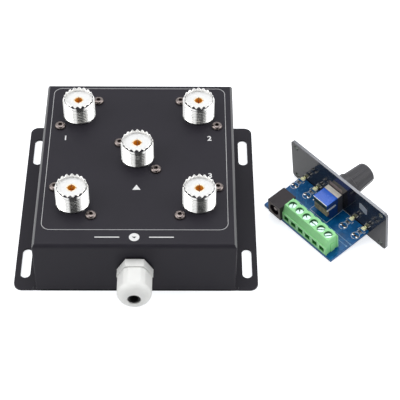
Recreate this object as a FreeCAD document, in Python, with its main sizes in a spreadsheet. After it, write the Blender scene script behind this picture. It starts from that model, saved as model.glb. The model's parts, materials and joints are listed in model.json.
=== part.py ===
import FreeCAD, Part
import math
import os
import re

import Sketcher
from FreeCAD import Placement, Rotation, Vector

# Coaxial antenna switch: a relay box with five coaxial sockets, and its dial controller.
# Millimetres and degrees. Origin: centre of the relay box's base, +Z up, the cable gland towards -Y.

# Sizes that can be set by themselves: name, number, meaning.
DRIVING = [
    # relay box covers
    ("box_width", 95.0, "over the two side walls"),
    ("box_depth", 110.8, "over the front and back walls"),
    ("sheet", 1.2, "sheet thickness of both covers"),
    ("bend_radius", 2.0, "outer radius of the folds"),
    ("seam_radius", 0.8, "outer radius of the upright seams"),
    ("foot_reach", 10.9, "foot beyond the side wall"),
    ("foot_corner", 4.0, "corner radius of a foot"),
    ("slot_width", 4.7, "foot slot"),
    ("slot_length", 18.8, "foot slot, end to end"),
    ("slot_edge", 5.0, "slot's middle line from the foot's outer edge"),
    ("slot_inset_back", 18.1, "back slots' centres from the foot's back end"),
    ("slot_inset_front", 16.4, "front slots' centres from the foot's front end"),
    ("relief_notch", 1.6, "bend relief between foot and front or back wall"),
    ("cover_gap", 0.3, "bottom cover to the walls"),
    ("bottom_recess", 2.2, "bottom cover above the ground"),
    # coaxial sockets
    ("socket_inset_side", 17.5, "outer socket's axis from the side wall's outer face"),
    ("socket_inset_back", 22.2, "back sockets' axes from the back wall's outer face"),
    ("socket_inset_front", 28.0, "front sockets' axes from the front wall's outer face"),
    ("thread_diameter", 15.875, "outer thread, 5/8 inch"),
    ("barrel_height", 11.6, "rim above the cover"),
    ("rim_chamfer", 0.35, "lead-in on the rim"),
    ("relief_depth", 0.5, "groove at the foot of the thread"),
    ("relief_rise", 0.3, "groove's upper edge above the cover"),
    ("flange_margin", 4.76, "square flange beyond the barrel"),
    ("flange_thickness", 3.0, "square flange under the cover"),
    ("screw_edge", 3.57, "socket screws' centres from the flange's edges"),
    ("rim_wall", 1.29, "barrel's wall at the rim"),
    ("rim_notches", 18, "V notches round the rim"),
    ("notch_depth", 1.3, "V notch"),
    ("notch_width", 1.7, "V notch at the rim"),
    ("shoulder_height", 2.0, "insulator's seat above the flange"),
    ("shoulder_width", 1.85, "insulator's seat in the barrel"),
    ("insulator_recess", 2.1, "insulator below the rim"),
    ("tail_clear", 1.0, "insulator above the relay board"),
    ("contact_bore", 3.9, "takes the plug's centre pin"),
    ("contact_wall", 0.5, "round the contact's bore"),
    ("contact_depth", 9.0, "of the contact's bore"),
    ("contact_slot", 0.5, "spring slots in the contact"),
    ("contact_slot_depth", 6.0, "spring slots in the contact"),
    ("tail_diameter", 2.0, "contact's solder tail"),
    ("fit_gap", 0.02, "radial, between pressed or threaded pieces"),
    ("hole_gap", 0.15, "radial, round a fixed piece in its hole"),
    # fasteners
    ("screw_diameter", 3.0, "M3"),
    ("button_head", 5.4, "button head diameter"),
    ("button_height", 1.65, "button head"),
    ("button_rim", 0.4, "upright edge of the button head"),
    ("hex_key", 2.0, "across flats"),
    ("hex_key_depth", 1.1, "key socket"),
    ("screw_tip", 0.8, "socket screw beyond its nut"),
    ("nut_flats", 5.5, "M3 nut and pillar, across flats"),
    ("nut_height", 2.4, "M3 nut"),
    ("spacer_diameter", 5.6, "between flange and relay board"),
    ("spacer_length", 3.0, "between flange and relay board"),
    ("pan_head", 5.5, "pan head diameter"),
    ("pan_height", 1.8, "pan head"),
    ("pan_rim", 0.7, "upright edge of the pan head"),
    ("pan_screw_length", 6.0, "under the head"),
    ("recess_length", 2.8, "cross recess"),
    ("recess_width", 0.6, "cross recess"),
    ("recess_depth", 0.9, "cross recess"),
    # relay board
    ("board_thickness", 1.6, "both circuit boards"),
    ("board_gap_side", 3.3, "relay board to the side walls"),
    ("board_gap_back", 7.3, "relay board to the back wall"),
    ("board_gap_front", 13.1, "relay board to the front wall"),
    ("pillar_inset", 3.4, "pillar's centre from the board's edges"),
    ("pin_radius", 0.5, "round pins through a board"),
    ("pin_stub", 0.4, "pins beyond a board"),
    ("pin_edge", 0.4, "pin to the edge of a relay's base"),
    # relays
    ("relay_width", 15.6, "case"),
    ("relay_wall", 0.8, "case"),
    ("relay_gap", 1.6, "relays' cases from the middle socket's line"),
    ("relay_clear", 4.5, "relays above the bottom cover"),
    ("relay_base_height", 1.5, "base plate inside the case"),
    ("yoke_thickness", 1.4, "iron yoke"),
    ("winding_diameter", 9.0, "coil winding"),
    ("bobbin_diameter", 10.0, "bobbin flanges"),
    ("bobbin_flange", 0.8, "bobbin flanges"),
    ("bobbin_height", 8.0, "over its flanges"),
    ("coil_clear", 0.6, "bobbin to the yoke's upright leg"),
    ("core_diameter", 3.0, "iron core"),
    ("pole_diameter", 5.0, "pole face on the core"),
    ("pole_height", 0.4, "pole face on the core"),
    ("armature_gap", 0.8, "armature above the pole face, released"),
    ("armature_thickness", 1.2, "iron armature"),
    ("armature_width", 9.0, "iron armature and yoke"),
    ("armature_seat", 0.1, "armature above the yoke's end"),
    ("armature_inset", 0.4, "armature's nose behind the bobbin's rim"),
    ("blade_thickness", 0.3, "contact blade on the armature"),
    ("blade_clear", 0.5, "contact blade to the posts"),
    ("post_x", 3.5, "contact posts from the relay's middle"),
    ("post_width", 2.0, "contact posts and arms"),
    ("contact_arm", 0.4, "thickness of contact posts and arms"),
    ("contact_clear", 0.3, "blade to the resting contact"),
    ("contact_gap", 1.2, "blade to the working contact, released"),
    ("coil_pin_y", 2.0, "coil pins from the coil's axis"),
    ("top_clear", 0.4, "contact arms to the case"),
    # screw terminals, the same kind in the box and on the controller
    ("terminal_ways", 6, "poles"),
    ("terminal_pitch", 5.08, "between poles"),
    ("terminal_end", 0.25, "housing beyond the outer poles"),
    ("pole_wall", 1.08, "between chambers"),
    ("well_wall", 0.88, "between screw wells"),
    ("terminal_wall", 0.8, "plain side"),
    ("terminal_foot", 2.1, "wire side, from foot to chamber"),
    ("terminal_step", 0.5, "wire side steps in above the entries"),
    ("top_wall", 0.6, "wire side, at the top of a screw well"),
    ("top_chamfer", 0.7, "plain side's upper edge"),
    ("rib_length", 2.4, "joining rib on the housing's end"),
    ("rib_reach", 0.3, "joining rib on the housing's end"),
    ("lead_in", 1.0, "chamber in front of the clamp"),
    ("ledge", 0.5, "above the chamber, carries the screw head"),
    ("head_recess", 1.0, "screw head below the top"),
    ("entry_rim", 0.3, "wire entry narrower than the chamber, each side"),
    ("entry_low", 1.2, "wire entry's lower edge"),
    ("entry_height", 3.4, "wire entry"),
    ("entry_roof", 1.2, "upright wall above the entry"),
    ("clamp_head_height", 1.6, "terminal screw head"),
    ("clamp_screw_diameter", 2.5, "terminal screw thread"),
    ("driver_slot", 0.6, "terminal screw's slot"),
    ("driver_slot_depth", 0.8, "terminal screw's slot"),
    ("seat_gap", 0.05, "turning faces from what they sit on"),
    ("clamp_travel", 1.9, "wire clamp, open to shut"),
    ("clamp_low", 0.5, "wire clamp above the board, open"),
    ("clamp_wall", 0.8, "wire clamp's lower wall"),
    ("clamp_top", 1.1, "wire clamp's threaded wall"),
    ("clamp_side", 0.4, "wire clamp's side walls"),
    ("clamp_play", 0.2, "clamp to the chamber, each side"),
    ("clamp_clear", 0.1, "clamp to bar and roof at the ends of its travel"),
    ("bar_thickness", 0.4, "contact bar"),
    ("bar_width", 2.0, "contact bar"),
    ("leg_gap", 0.3, "clamp to the contact's leg"),
    ("inner_terminal_step", 3.0, "inner terminal behind the front sockets' line"),
    # cable gland
    ("gland_rise", 0.4, "gland's axis above the wall's middle"),
    ("gland_thread", 12.2, "thread through the wall"),
    ("collar_step", 1.4, "collar's flats beyond the thread"),
    ("gland_collar", 4.8, "collar"),
    ("gland_bore", 7.6, "cable way through the body"),
    ("gasket_thickness", 0.8, "rubber ring under the collar"),
    ("gasket_inset", 0.3, "rubber ring inside the collar's flats"),
    ("gland_neck", 8.0, "thread in front of the collar"),
    ("tail_out", 2.8, "thread behind the lock nut"),
    ("dome_side", 2.05, "dome nut's wall over the thread"),
    ("dome_flat_cut", 0.55, "dome nut's flats below its round"),
    ("dome_start", 0.3, "dome nut in front of the collar"),
    ("nose_flat", 0.8, "flat ring round the dome nut's mouth"),
    ("dome_mouth", 6.3, "opening in the nose"),
    ("dome_wall", 2.2, "nose"),
    ("dome_play", 0.06, "radial, dome nut on its thread"),
    ("dome_clear", 0.3, "in the dome nut before its taper, and below the seal"),
    ("dome_taper", 2.8, "length of the dome nut's taper"),
    ("seal_step", 0.4, "seal's seat round the cable way"),
    ("seal_bore", 4.6, "grips the control cable"),
    ("seal_length", 8.5, "rubber seal behind the dome nut's nose"),
    ("seal_inset", 0.5, "seal's end behind the nose's face"),
    ("lock_step", 2.4, "lock nut's flats beyond the thread"),
    ("lock_height", 4.0, "lock nut"),
    # controller: where it stands
    ("controller_gap", 42.1, "panel's rear lower edge, middle, from the box's foot"),
    ("controller_y", -3.5, "panel's rear lower edge, middle"),
    ("controller_heading", -50.5, "turn about +Z"),
    # controller: panel and board
    ("panel_width", 67.0, "left to right"),
    ("panel_height", 27.2, "upright"),
    ("panel_thickness", 1.5, "plate"),
    ("panel_corner", 2.0, "corner radius"),
    ("panel_hole", 3.2, "corner holes"),
    ("panel_inset_x", 3.6, "corner holes from the side edges"),
    ("panel_inset_z", 3.0, "corner holes from the long edges"),
    ("control_board_depth", 25.8, "front to back"),
    ("control_board_gap", 0.3, "board behind the panel"),
    ("control_board_low", 3.5, "board's underside above the panel's lower edge"),
    ("control_board_shift", 2.1, "board's middle, left of the panel's"),
    ("terminal_gap", 0.15, "terminal to the power jack"),
    ("terminal_margin", 3.82, "terminal to the board's right edge"),
    ("terminal_edge", 0.2, "terminal to the board's rear edge"),
    # controller: rotary switch and knob
    ("knob_shift", 1.3, "knob's axis, left of the panel's middle"),
    ("knob_axis_height", 6.9, "shaft's axis above the board"),
    ("switch_frame_length", 3.3, "metal frame behind the panel"),
    ("case_wall", 0.8, "switch case round the rotor"),
    ("case_back", 2.2, "switch case behind the rotor"),
    ("rotor_diameter", 7.4, "contact rotor on the shaft"),
    ("rotor_length", 4.4, "contact rotor on the shaft"),
    ("rotor_play", 0.3, "rotor to the case"),
    ("shaft_diameter", 6.0, "selector shaft"),
    ("shaft_play", 0.05, "radial, shaft in its bushing"),
    ("shaft_chamfer", 0.5, "shaft's end"),
    ("bushing_wall", 0.45, "threaded bushing"),
    ("thread_out", 1.7, "bushing in front of its nut"),
    ("shaft_nut_wall", 1.5, "nut's flats beyond the bushing"),
    ("shaft_nut_height", 2.0, "nut on the bushing"),
    ("knob_gap", 0.4, "knob in front of the panel"),
    ("knob_clear", 0.3, "knob to the bushing's end and the shaft's end"),
    ("nut_room_gap", 0.38, "knob round the nut's corners"),
    ("collar_wall", 0.75, "knob's collar round the nut's room"),
    ("collar_drop", 0.85, "grip below the collar"),
    ("grip_length", 12.1, "grip in front of the collar"),
    ("grip_taper", 0.8, "radial, over the grip"),
    ("knob_cap", 5.1, "knob beyond the shaft's end"),
    ("knob_edge", 0.5, "chamfers on the knob"),
    ("pointer_width", 0.7, "pointer groove"),
    ("pointer_depth", 0.35, "pointer groove"),
    ("pointer_angle", -8.0, "pointer at rest, from the panel's +X side upwards"),
    ("grub_edge", 0.5, "knob before and behind its grub screw"),
    ("grub_recess", 0.68, "grub screw below the collar's face"),
    ("grub_key", 1.5, "across flats"),
    ("switch_pin_pitch", 2.54, "between pins"),
    # controller: power jack
    ("jack_inset", 4.85, "body from the board's left edge"),
    ("jack_overhang", 1.2, "behind the board"),
    ("jack_bore", 6.3, "takes the plug's sleeve"),
    ("jack_depth", 9.0, "of the opening"),
    ("jack_wall", 1.15, "beside the opening"),
    ("jack_floor", 1.75, "under the opening"),
    ("jack_roof", 1.45, "over the opening"),
    ("jack_back", 1.8, "behind the opening"),
    ("jack_pin_diameter", 2.0, "centre pin"),
    ("jack_pin_recess", 0.8, "pin behind the opening's edge"),
    ("spring_thickness", 0.4, "sleeve contact strip"),
    ("spring_width", 1.2, "sleeve contact strip"),
    ("spring_lift", 0.2, "sleeve contact strip above the opening's lowest line"),
    ("spring_setback", 3.0, "sleeve contact's leg before the opening's end"),
    # controller: lights
    ("led_width", 3.0, "left to right"),
    ("led_depth", 1.6, "front to back"),
    ("led_height", 1.0, "above the board"),
    ("led_setback", 1.1, "LED's middle behind the board's front edge"),
    ("led_inset_left", 1.8, "first LED's middle from the board's left edge"),
    ("led_step_left", 9.1, "between the two left LEDs"),
    ("led_inset_right", 2.5, "last LED's middle from the board's right edge"),
    ("led_step_right", 8.5, "between the two right LEDs"),
    ("led_window", 1.6, "light hole in the panel"),
    ("resistor_length", 2.0, "left to right"),
    ("resistor_depth", 1.25, "front to back"),
    ("resistor_height", 0.55, "above the board"),
    ("resistor_setback", 3.6, "resistor's middle behind the board's front edge"),
]

# Sizes and places that follow from them.
DERIVED = [
    # relays, measured from the board's face into the relay
    ("bobbin_low", "relay_base_height + yoke_thickness"),
    ("bobbin_top", "bobbin_low + bobbin_height"),
    ("pole_top", "bobbin_top + pole_height"),
    ("armature_low", "pole_top + armature_gap"),
    ("armature_top", "armature_low + armature_thickness"),
    ("yoke_top", "armature_low - armature_seat"),
    ("closed_arm_low", "armature_top + blade_thickness + contact_clear"),
    ("closed_arm_top", "closed_arm_low + contact_arm"),
    ("open_arm_top", "armature_top - contact_gap"),
    ("relay_height", "closed_arm_top + top_clear + relay_wall"),
    ("yoke_inner", "bobbin_diameter/2 + coil_clear"),
    ("yoke_outer", "yoke_inner + yoke_thickness"),
    ("yoke_pin_y", "yoke_outer + pin_radius"),
    ("relay_inner_length", "2*(yoke_pin_y + pin_radius + pin_edge + hole_gap)"),
    ("relay_length", "relay_inner_length + 2*relay_wall"),
    ("relay_inner_width", "relay_width - 2*relay_wall"),
    ("coil_pin_x", "relay_inner_width/2 - hole_gap - pin_edge - pin_radius"),
    ("post_y", "-yoke_pin_y"),
    ("post_front", "post_y + contact_arm/2"),
    ("blade_end", "post_front + blade_clear"),
    ("armature_nose", "armature_inset - bobbin_diameter/2"),
    ("arm_end", "armature_nose - blade_clear"),
    # relay box, upwards from the ground
    ("bottom_top", "bottom_recess + sheet"),
    ("relay_board_bottom", "bottom_top + relay_clear + relay_height"),
    ("relay_board_top", "relay_board_bottom + board_thickness"),
    ("ceiling", "relay_board_top + spacer_length + flange_thickness"),
    ("box_height", "ceiling + sheet"),
    ("pillar_length", "relay_board_bottom - bottom_top"),
    # relay box, seen from above
    ("foot_edge", "box_width/2 + foot_reach"),
    ("slot_x", "foot_edge - slot_edge"),
    ("slot_back_y", "box_depth/2 - slot_inset_back"),
    ("slot_front_y", "slot_inset_front - box_depth/2"),
    ("slot_flat", "slot_length - slot_width"),
    ("socket_x", "box_width/2 - socket_inset_side"),
    ("socket_row", "(box_depth - socket_inset_back - socket_inset_front)/2"),
    ("socket_y", "(socket_inset_front - socket_inset_back)/2"),
    ("relay_board_width", "box_width - 2*sheet - 2*board_gap_side"),
    ("relay_board_depth", "box_depth - 2*sheet - board_gap_back - board_gap_front"),
    ("relay_board_y", "(board_gap_front - board_gap_back)/2"),
    ("pillar_x", "relay_board_width/2 - pillar_inset"),
    ("pillar_back_y", "relay_board_y + relay_board_depth/2 - pillar_inset"),
    ("pillar_front_y", "relay_board_y - relay_board_depth/2 + pillar_inset"),
    # sockets, upwards from the flange's upper face
    ("thread_radius", "thread_diameter/2"),
    ("flange_side", "thread_diameter + 2*flange_margin"),
    ("screw_offset", "flange_side/2 - screw_edge"),
    ("barrel_top", "sheet + barrel_height"),
    ("relief_top", "sheet + relief_rise"),
    ("relief_radius", "thread_radius - relief_depth"),
    ("rim_bore", "thread_diameter - 2*rim_wall"),
    ("rear_bore", "rim_bore - 2*shoulder_width"),
    ("insulator_top", "barrel_top - insulator_recess"),
    ("insulator_bottom", "tail_clear - flange_thickness - spacer_length"),
    ("contact_diameter", "contact_bore + 2*contact_wall"),
    ("tail_end", "relay_board_bottom - ceiling - pin_stub"),
    ("relay_x", "socket_x/2 + screw_offset"),
    ("relay_y", "relay_gap + relay_length/2"),
    # fasteners
    ("screw_hole", "screw_diameter + 2*hole_gap"),
    ("tap_radius", "screw_diameter/2 + fit_gap"),
    ("pin_hole", "pin_radius + hole_gap"),
    ("socket_screw_length", "box_height - relay_board_bottom + nut_height + screw_tip"),
    # screw terminals, upwards from the board
    ("terminal_length", "terminal_ways*terminal_pitch + 2*terminal_end"),
    ("clamp_window_low", "clamp_low + clamp_wall"),
    ("bar_low", "clamp_window_low + clamp_travel + clamp_clear"),
    ("bar_top", "bar_low + bar_thickness"),
    ("clamp_window_top", "bar_top + clamp_clear"),
    ("clamp_high", "clamp_window_top + clamp_top"),
    ("cavity_height", "clamp_high + clamp_travel + clamp_clear"),
    ("head_low", "cavity_height + ledge + seat_gap"),
    ("head_top", "head_low + clamp_head_height"),
    ("terminal_height", "head_top + head_recess"),
    ("terminal_lower", "entry_low + entry_height + entry_roof"),
    ("cavity_width", "terminal_pitch - pole_wall"),
    ("entry_width", "cavity_width - 2*entry_rim"),
    ("well_radius", "(terminal_pitch - well_wall)/2"),
    ("head_radius", "well_radius - hole_gap"),
    ("clamp_width", "cavity_width - 2*clamp_play"),
    ("clamp_depth", "clamp_screw_diameter + 2*clamp_side"),
    ("clamp_tap", "clamp_screw_diameter/2 + fit_gap"),
    ("leg_y", "clamp_depth/2 + leg_gap + pin_radius"),
    ("cavity_front", "leg_y + pin_radius"),
    ("cavity_back", "clamp_depth/2 + lead_in"),
    ("terminal_front", "cavity_front + terminal_wall"),
    ("terminal_back", "cavity_back + terminal_foot"),
    ("terminal_top_back", "well_radius + top_wall"),
    ("bar_back", "cavity_back - clamp_play"),
    ("inner_terminal_y", "socket_y - socket_row + inner_terminal_step"),
    # gland, outwards from the wall's outer face
    ("gland_z", "box_height/2 + gland_rise"),
    ("gland_flats", "gland_thread + 2*collar_step"),
    ("gasket_diameter", "gland_flats - 2*gasket_inset"),
    ("gland_tail", "sheet + lock_height + tail_out"),
    ("lock_flats", "gland_thread + 2*lock_step"),
    ("collar_end", "gasket_thickness + gland_collar"),
    ("neck_end", "collar_end + gland_neck"),
    ("dome_low", "collar_end + dome_start"),
    ("taper_start", "neck_end + dome_clear"),
    ("taper_end", "taper_start + dome_taper"),
    ("dome_end", "taper_end + dome_wall"),
    ("dome_diameter", "gland_thread + 2*dome_side"),
    ("dome_flats", "dome_diameter - 2*dome_flat_cut"),
    ("dome_round", "(dome_diameter - dome_mouth)/2 - nose_flat"),
    ("seal_diameter", "gland_bore + 2*seal_step"),
    ("seal_room", "seal_diameter/2 + hole_gap"),
    ("seal_low", "taper_end - seal_length"),
    ("seal_end", "dome_end - seal_inset"),
    # controller, in the panel's own frame: X right, Y out of the front, Z up
    ("controller_x", "foot_edge + controller_gap"),
    ("jack_width", "jack_bore + 2*jack_wall"),
    ("control_board_width",
     "jack_inset + jack_width + terminal_gap + terminal_length + terminal_margin"),
    ("control_board_top", "control_board_low + board_thickness"),
    ("control_board_rear", "-control_board_gap - control_board_depth"),
    ("board_left", "-control_board_shift - control_board_width/2"),
    ("board_right", "board_left + control_board_width"),
    ("terminal_x", "board_right - terminal_margin - terminal_length/2"),
    ("terminal_y", "control_board_rear + terminal_edge + terminal_back"),
    ("knob_z", "control_board_top + knob_axis_height"),
    ("switch_width", "rotor_diameter + 2*rotor_play + 2*case_wall"),
    ("switch_height", "knob_axis_height + switch_width/2"),
    ("switch_case_length", "rotor_length + 2*rotor_play + case_back"),
    ("switch_pin_y", "-switch_frame_length - switch_pin_pitch/2"),
    ("rotor_front", "-switch_frame_length - rotor_play"),
    ("rotor_rear", "rotor_front - rotor_length"),
    ("shaft_radius", "shaft_diameter/2"),
    ("bushing_bore", "shaft_radius + shaft_play"),
    ("bushing_radius", "bushing_bore + bushing_wall"),
    ("bushing_end", "panel_thickness + shaft_nut_height + thread_out"),
    ("shaft_nut_flats", "2*bushing_radius + 2*shaft_nut_wall"),
    ("nut_room", "shaft_nut_flats/sqrt(3) + nut_room_gap"),
    ("collar_radius", "nut_room + collar_wall"),
    ("knob_start", "panel_thickness + knob_gap"),
    ("nut_room_end", "bushing_end + knob_clear"),
    ("grub_z", "nut_room_end + grub_edge + screw_diameter/2"),
    ("collar_stop", "grub_z + grub_edge + screw_diameter/2"),
    ("knob_end", "collar_stop + grip_length"),
    ("grip_base", "collar_radius - collar_drop"),
    ("grip_end", "grip_base - grip_taper"),
    ("shaft_end", "knob_end - knob_cap"),
    ("grub_length", "collar_radius - grub_recess - shaft_radius - fit_gap"),
    ("jack_length", "jack_depth + jack_back"),
    ("jack_axis", "jack_floor + jack_bore/2"),
    ("jack_height", "jack_axis + jack_bore/2 + jack_roof"),
    ("jack_x", "board_left + jack_inset + jack_width/2"),
    ("jack_z", "control_board_top + jack_axis"),
    ("jack_rear", "control_board_rear - jack_overhang"),
    ("jack_core_y", "jack_rear + jack_depth + jack_back/2"),
    ("jack_spring_y", "jack_rear + jack_depth - spring_setback"),
    ("spring_low", "control_board_top + jack_floor + spring_lift"),
    ("led_y", "-control_board_gap - led_setback"),
    ("resistor_y", "-control_board_gap - resistor_setback"),
    ("led_window_z", "control_board_top + led_height/2"),
]

DRIVING_NAMES = {row[0] for row in DRIVING}
DERIVED_NAMES = {row[0] for row in DERIVED}


def link(expression, home=""):
    """Writes each size's name as a reference to its sheet, or bare in its home sheet."""
    def sheet_reference(match):
        word = match.group(0)
        if word in DRIVING_NAMES:
            return "Sizes." + word
        if word in DERIVED_NAMES:
            return word if home == "Layout" else "Layout." + word
        return word
    return re.sub(r"[a-z][a-z_0-9]*", sheet_reference, expression)


doc = FreeCAD.newDocument("antenna_switch")
sizes = doc.addObject("Spreadsheet::Sheet", "Sizes")
for row, (name, size, meaning) in enumerate(DRIVING, start=1):
    sizes.set("A%d" % row, name)
    sizes.set("B%d" % row, str(size))
    sizes.set("C%d" % row, meaning)
    sizes.setAlias("B%d" % row, name)
layout = doc.addObject("Spreadsheet::Sheet", "Layout")
for row, (name, formula) in enumerate(DERIVED, start=1):
    layout.set("A%d" % row, name)
    layout.set("B%d" % row, "=" + link(formula, home="Layout"))
    layout.setAlias("B%d" % row, name)
# every expression whose number a placement needs gets a cell of its own here
places = doc.addObject("Spreadsheet::Sheet", "Places")
doc.recompute()
cells = {}


def number(expression):
    """The number that an expression of sizes comes to."""
    if expression not in cells:
        cells[expression] = "A%d" % (len(cells) + 1)
        places.set(cells[expression], "=" + link(expression))
        places.recompute()
    return float(places.get(cells[expression]))


# ---- sketches and features --------------------------------------------------------------------

def new_body(label):
    body = doc.addObject("PartDesign::Body", label)
    body.Label = label
    return body


def origin_feature(body, role):
    for feature in body.Origin.OriginFeatures:
        if feature.Role == role:
            return feature


def sketch_on(body, name, role, shift=None):
    """A sketch on one of the body's origin planes, moved along the plane's normal by shift."""
    sketch = body.newObject("Sketcher::SketchObject", name)
    sketch.AttachmentSupport = [(origin_feature(body, role), "")]
    sketch.MapMode = "FlatFace"
    if shift is not None:
        sketch.setExpression("AttachmentOffset.Base.z", link(shift))
    return sketch


def constrain(sketch, kind, geometry, point, start, expression):
    """Ties one coordinate of a point, measured from the sketch's origin, to an expression."""
    index = sketch.addConstraint(Sketcher.Constraint(kind, -1, 1, geometry, point, start))
    sketch.setExpression("Constraints[%d]" % index, link(expression))


def polygon(sketch, corners):
    """A closed outline through corners, each given as two expressions."""
    first = sketch.GeometryCount
    count = len(corners)
    guess = []
    for k in range(count):
        turn = 2 * math.pi * k / count
        guess.append(Vector(10 * math.cos(turn), 10 * math.sin(turn), 0))
    for k in range(count):
        sketch.addGeometry(Part.LineSegment(guess[k], guess[(k + 1) % count]), False)
    for k in range(count):
        following = first + (k + 1) % count
        sketch.addConstraint(Sketcher.Constraint("Coincident", first + k, 2, following, 1))
    for k, (across, along) in enumerate(corners):
        constrain(sketch, "DistanceX", first + k, 1, guess[k].x, across)
        constrain(sketch, "DistanceY", first + k, 1, guess[k].y, along)


def rectangle(sketch, width, depth, x="0", y="0"):
    """A rectangle about the point x, y."""
    left, right = "%s - (%s)/2" % (x, width), "%s + (%s)/2" % (x, width)
    near, far = "%s - (%s)/2" % (y, depth), "%s + (%s)/2" % (y, depth)
    polygon(sketch, [(left, near), (right, near), (right, far), (left, far)])


def circle(sketch, radius, x="0", y="0"):
    geometry = sketch.GeometryCount
    sketch.addGeometry(Part.Circle(Vector(geometry, 0, 0), Vector(0, 0, 1), 1), False)
    index = sketch.addConstraint(Sketcher.Constraint("Radius", geometry, 1.0))
    sketch.setExpression("Constraints[%d]" % index, link(radius))
    constrain(sketch, "DistanceX", geometry, 3, float(geometry), x)
    constrain(sketch, "DistanceY", geometry, 3, 0.0, y)


def circles(sketch, radius, spots):
    for x, y in spots:
        circle(sketch, radius, x, y)


def hexagon(sketch, flats):
    """A hexagon about the origin with two flats parallel to X."""
    half = "(%s)/2" % flats
    side = "(%s)/2/sqrt(3)" % flats
    corner = "(%s)/sqrt(3)" % flats
    polygon(sketch, [("-" + side, "-" + half), (side, "-" + half), (corner, "0"),
                     (side, half), ("-" + side, half), ("-" + corner, "0")])


def finish(body, feature, grows, base=None):
    """Recomputes, and stops if a feature left its body as it was or changed it the wrong way."""
    base = base or feature.BaseFeature
    before = base.Shape.Volume if base else 0.0
    doc.recompute()
    change = feature.Shape.Volume - before
    if (change > 0) != grows or abs(change) < 1e-6:
        raise RuntimeError("%s: %s changed nothing" % (body.Label, feature.Name))
    return feature


def pad(body, sketch, length, reverse=False):
    feature = body.newObject("PartDesign::Pad", sketch.Name + "_pad")
    feature.Profile = sketch
    feature.Reversed = reverse
    feature.setExpression("Length", link(length))
    return finish(body, feature, True)


def pocket(body, sketch, depth=None, reverse=False, middle=False):
    """Cuts to a depth, on one side of the sketch or about it, or through all without a depth."""
    feature = body.newObject("PartDesign::Pocket", sketch.Name + "_pocket")
    feature.Profile = sketch
    feature.Reversed = reverse
    feature.Midplane = middle
    if depth is None:
        feature.Type = "ThroughAll"
    else:
        feature.setExpression("Length", link(depth))
    return finish(body, feature, False)


def revolve(body, sketch):
    feature = body.newObject("PartDesign::Revolution", sketch.Name + "_turned")
    feature.Profile = sketch
    feature.ReferenceAxis = (sketch, ["V_Axis"])
    feature.Angle = 360
    return finish(body, feature, True)


def fillet(body, radius, wanted):
    """Rounds each edge of the body's tip that wanted accepts."""
    base = body.Tip
    edges = []
    for index, edge in enumerate(base.Shape.Edges, start=1):
        if wanted(edge.BoundBox):
            edges.append("Edge%d" % index)
    if not edges:
        raise RuntimeError("%s: no edge to round" % body.Label)
    feature = body.newObject("PartDesign::Fillet", base.Name + "_rounded")
    feature.Base = (base, edges)
    feature.setExpression("Radius", link(radius))
    doc.recompute()
    return feature


def same(first, second):
    return abs(first - second) < 1e-4


def level_at(height):
    """Accepts edges that lie flat at a height."""
    return lambda box: same(box.ZMin, number(height)) and same(box.ZMax, number(height))


def ring_at(height, diameter):
    """Accepts round edges of one diameter about the Z axis, at a height."""
    flat = level_at(height)
    return lambda box: flat(box) and same(box.XLength, number(diameter))


def upright(box):
    """Accepts edges parallel to the Z axis."""
    return same(box.XLength, 0) and same(box.YLength, 0)


def turned(label, outline):
    """A piece turned about its Z axis from an outline of (radius, height)."""
    body = new_body(label)
    profile = sketch_on(body, label + "_profile", "XZ_Plane")
    polygon(profile, outline)
    revolve(body, profile)
    return body


def tube(label, outer, inner, low, high):
    return turned(label, [(inner, low), (outer, low), (outer, high), (inner, high)])


def rod(label, radius, low, high):
    return tube(label, radius, "0", low, high)


def block(label, width, depth, low, high, x="0", y="0"):
    """A plain block, from a low to a high level."""
    body = new_body(label)
    outline = sketch_on(body, label + "_outline", "XY_Plane", low)
    rectangle(outline, width, depth, x, y)
    pad(body, outline, "(%s) - (%s)" % (high, low))
    return body


def hexagonal_nut(label, flats, bore_radius, low, height):
    body = new_body(label)
    outline = sketch_on(body, label + "_outline", "XY_Plane", low)
    hexagon(outline, flats)
    circle(outline, bore_radius)
    pad(body, outline, height)
    return body


def crossed_slots(body, top, length, width, depth):
    """Two slots at right angles, cut down from a top level."""
    for name, across, along in (("slot_x", length, width), ("slot_y", width, length)):
        slot = sketch_on(body, "%s_%s" % (body.Label, name), "XY_Plane", top)
        rectangle(slot, across, along)
        pocket(body, slot, depth)


# ---- places and nodes -------------------------------------------------------------------------

UPSIDE_DOWN = Rotation(Vector(0, 1, 0), 180)


def place(x, y, z, rotation=None):
    return Placement(Vector(number(x), number(y), number(z)), rotation or Rotation())


def spread(master, spots, height, rotation=None, base=None):
    """A master piece paired with its placement at each spot, at one height of a base frame."""
    pairs = []
    for x, y in spots:
        spot = place(x, y, height, rotation)
        pairs.append((master, base.multiply(spot) if base else spot))
    return pairs


def group(label, pairs):
    """One node from several separate solids: pairs of a master piece and a placement."""
    copies = []
    for index, (master, placement) in enumerate(pairs, start=1):
        copy = doc.addObject("App::Link", "%s_%d" % (label, index))
        copy.LinkedObject = master
        copy.Placement = placement
        copies.append(copy)
    compound = doc.addObject("Part::Compound", label)
    compound.Label = label
    compound.Links = copies
    doc.recompute()
    return compound


nodes = []


def keep(piece, placement=None):
    """Adds a finished piece to the nodes, at its place."""
    if placement is not None:
        piece.Placement = placement
    nodes.append(piece)


# name, column, row, and which diagonal carries its two screws
SOCKETS = [
    ("socket_1", -1, 1, 1),
    ("socket_2", 1, 1, -1),
    ("socket_3", 1, -1, 1),
    ("socket_4", -1, -1, -1),
    ("socket_main", 0, 0, -1),
]
SOCKET_SPOTS = []
SCREW_SPOTS = []
for name, column, row, diagonal in SOCKETS:
    socket_x = "%d*socket_x" % column
    socket_y = "socket_y + %d*socket_row" % row
    SOCKET_SPOTS.append((socket_x, socket_y))
    for side in (-1, 1):
        SCREW_SPOTS.append(("%s + %d*screw_offset" % (socket_x, side),
                            "%s + %d*screw_offset" % (socket_y, side * diagonal)))

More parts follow.
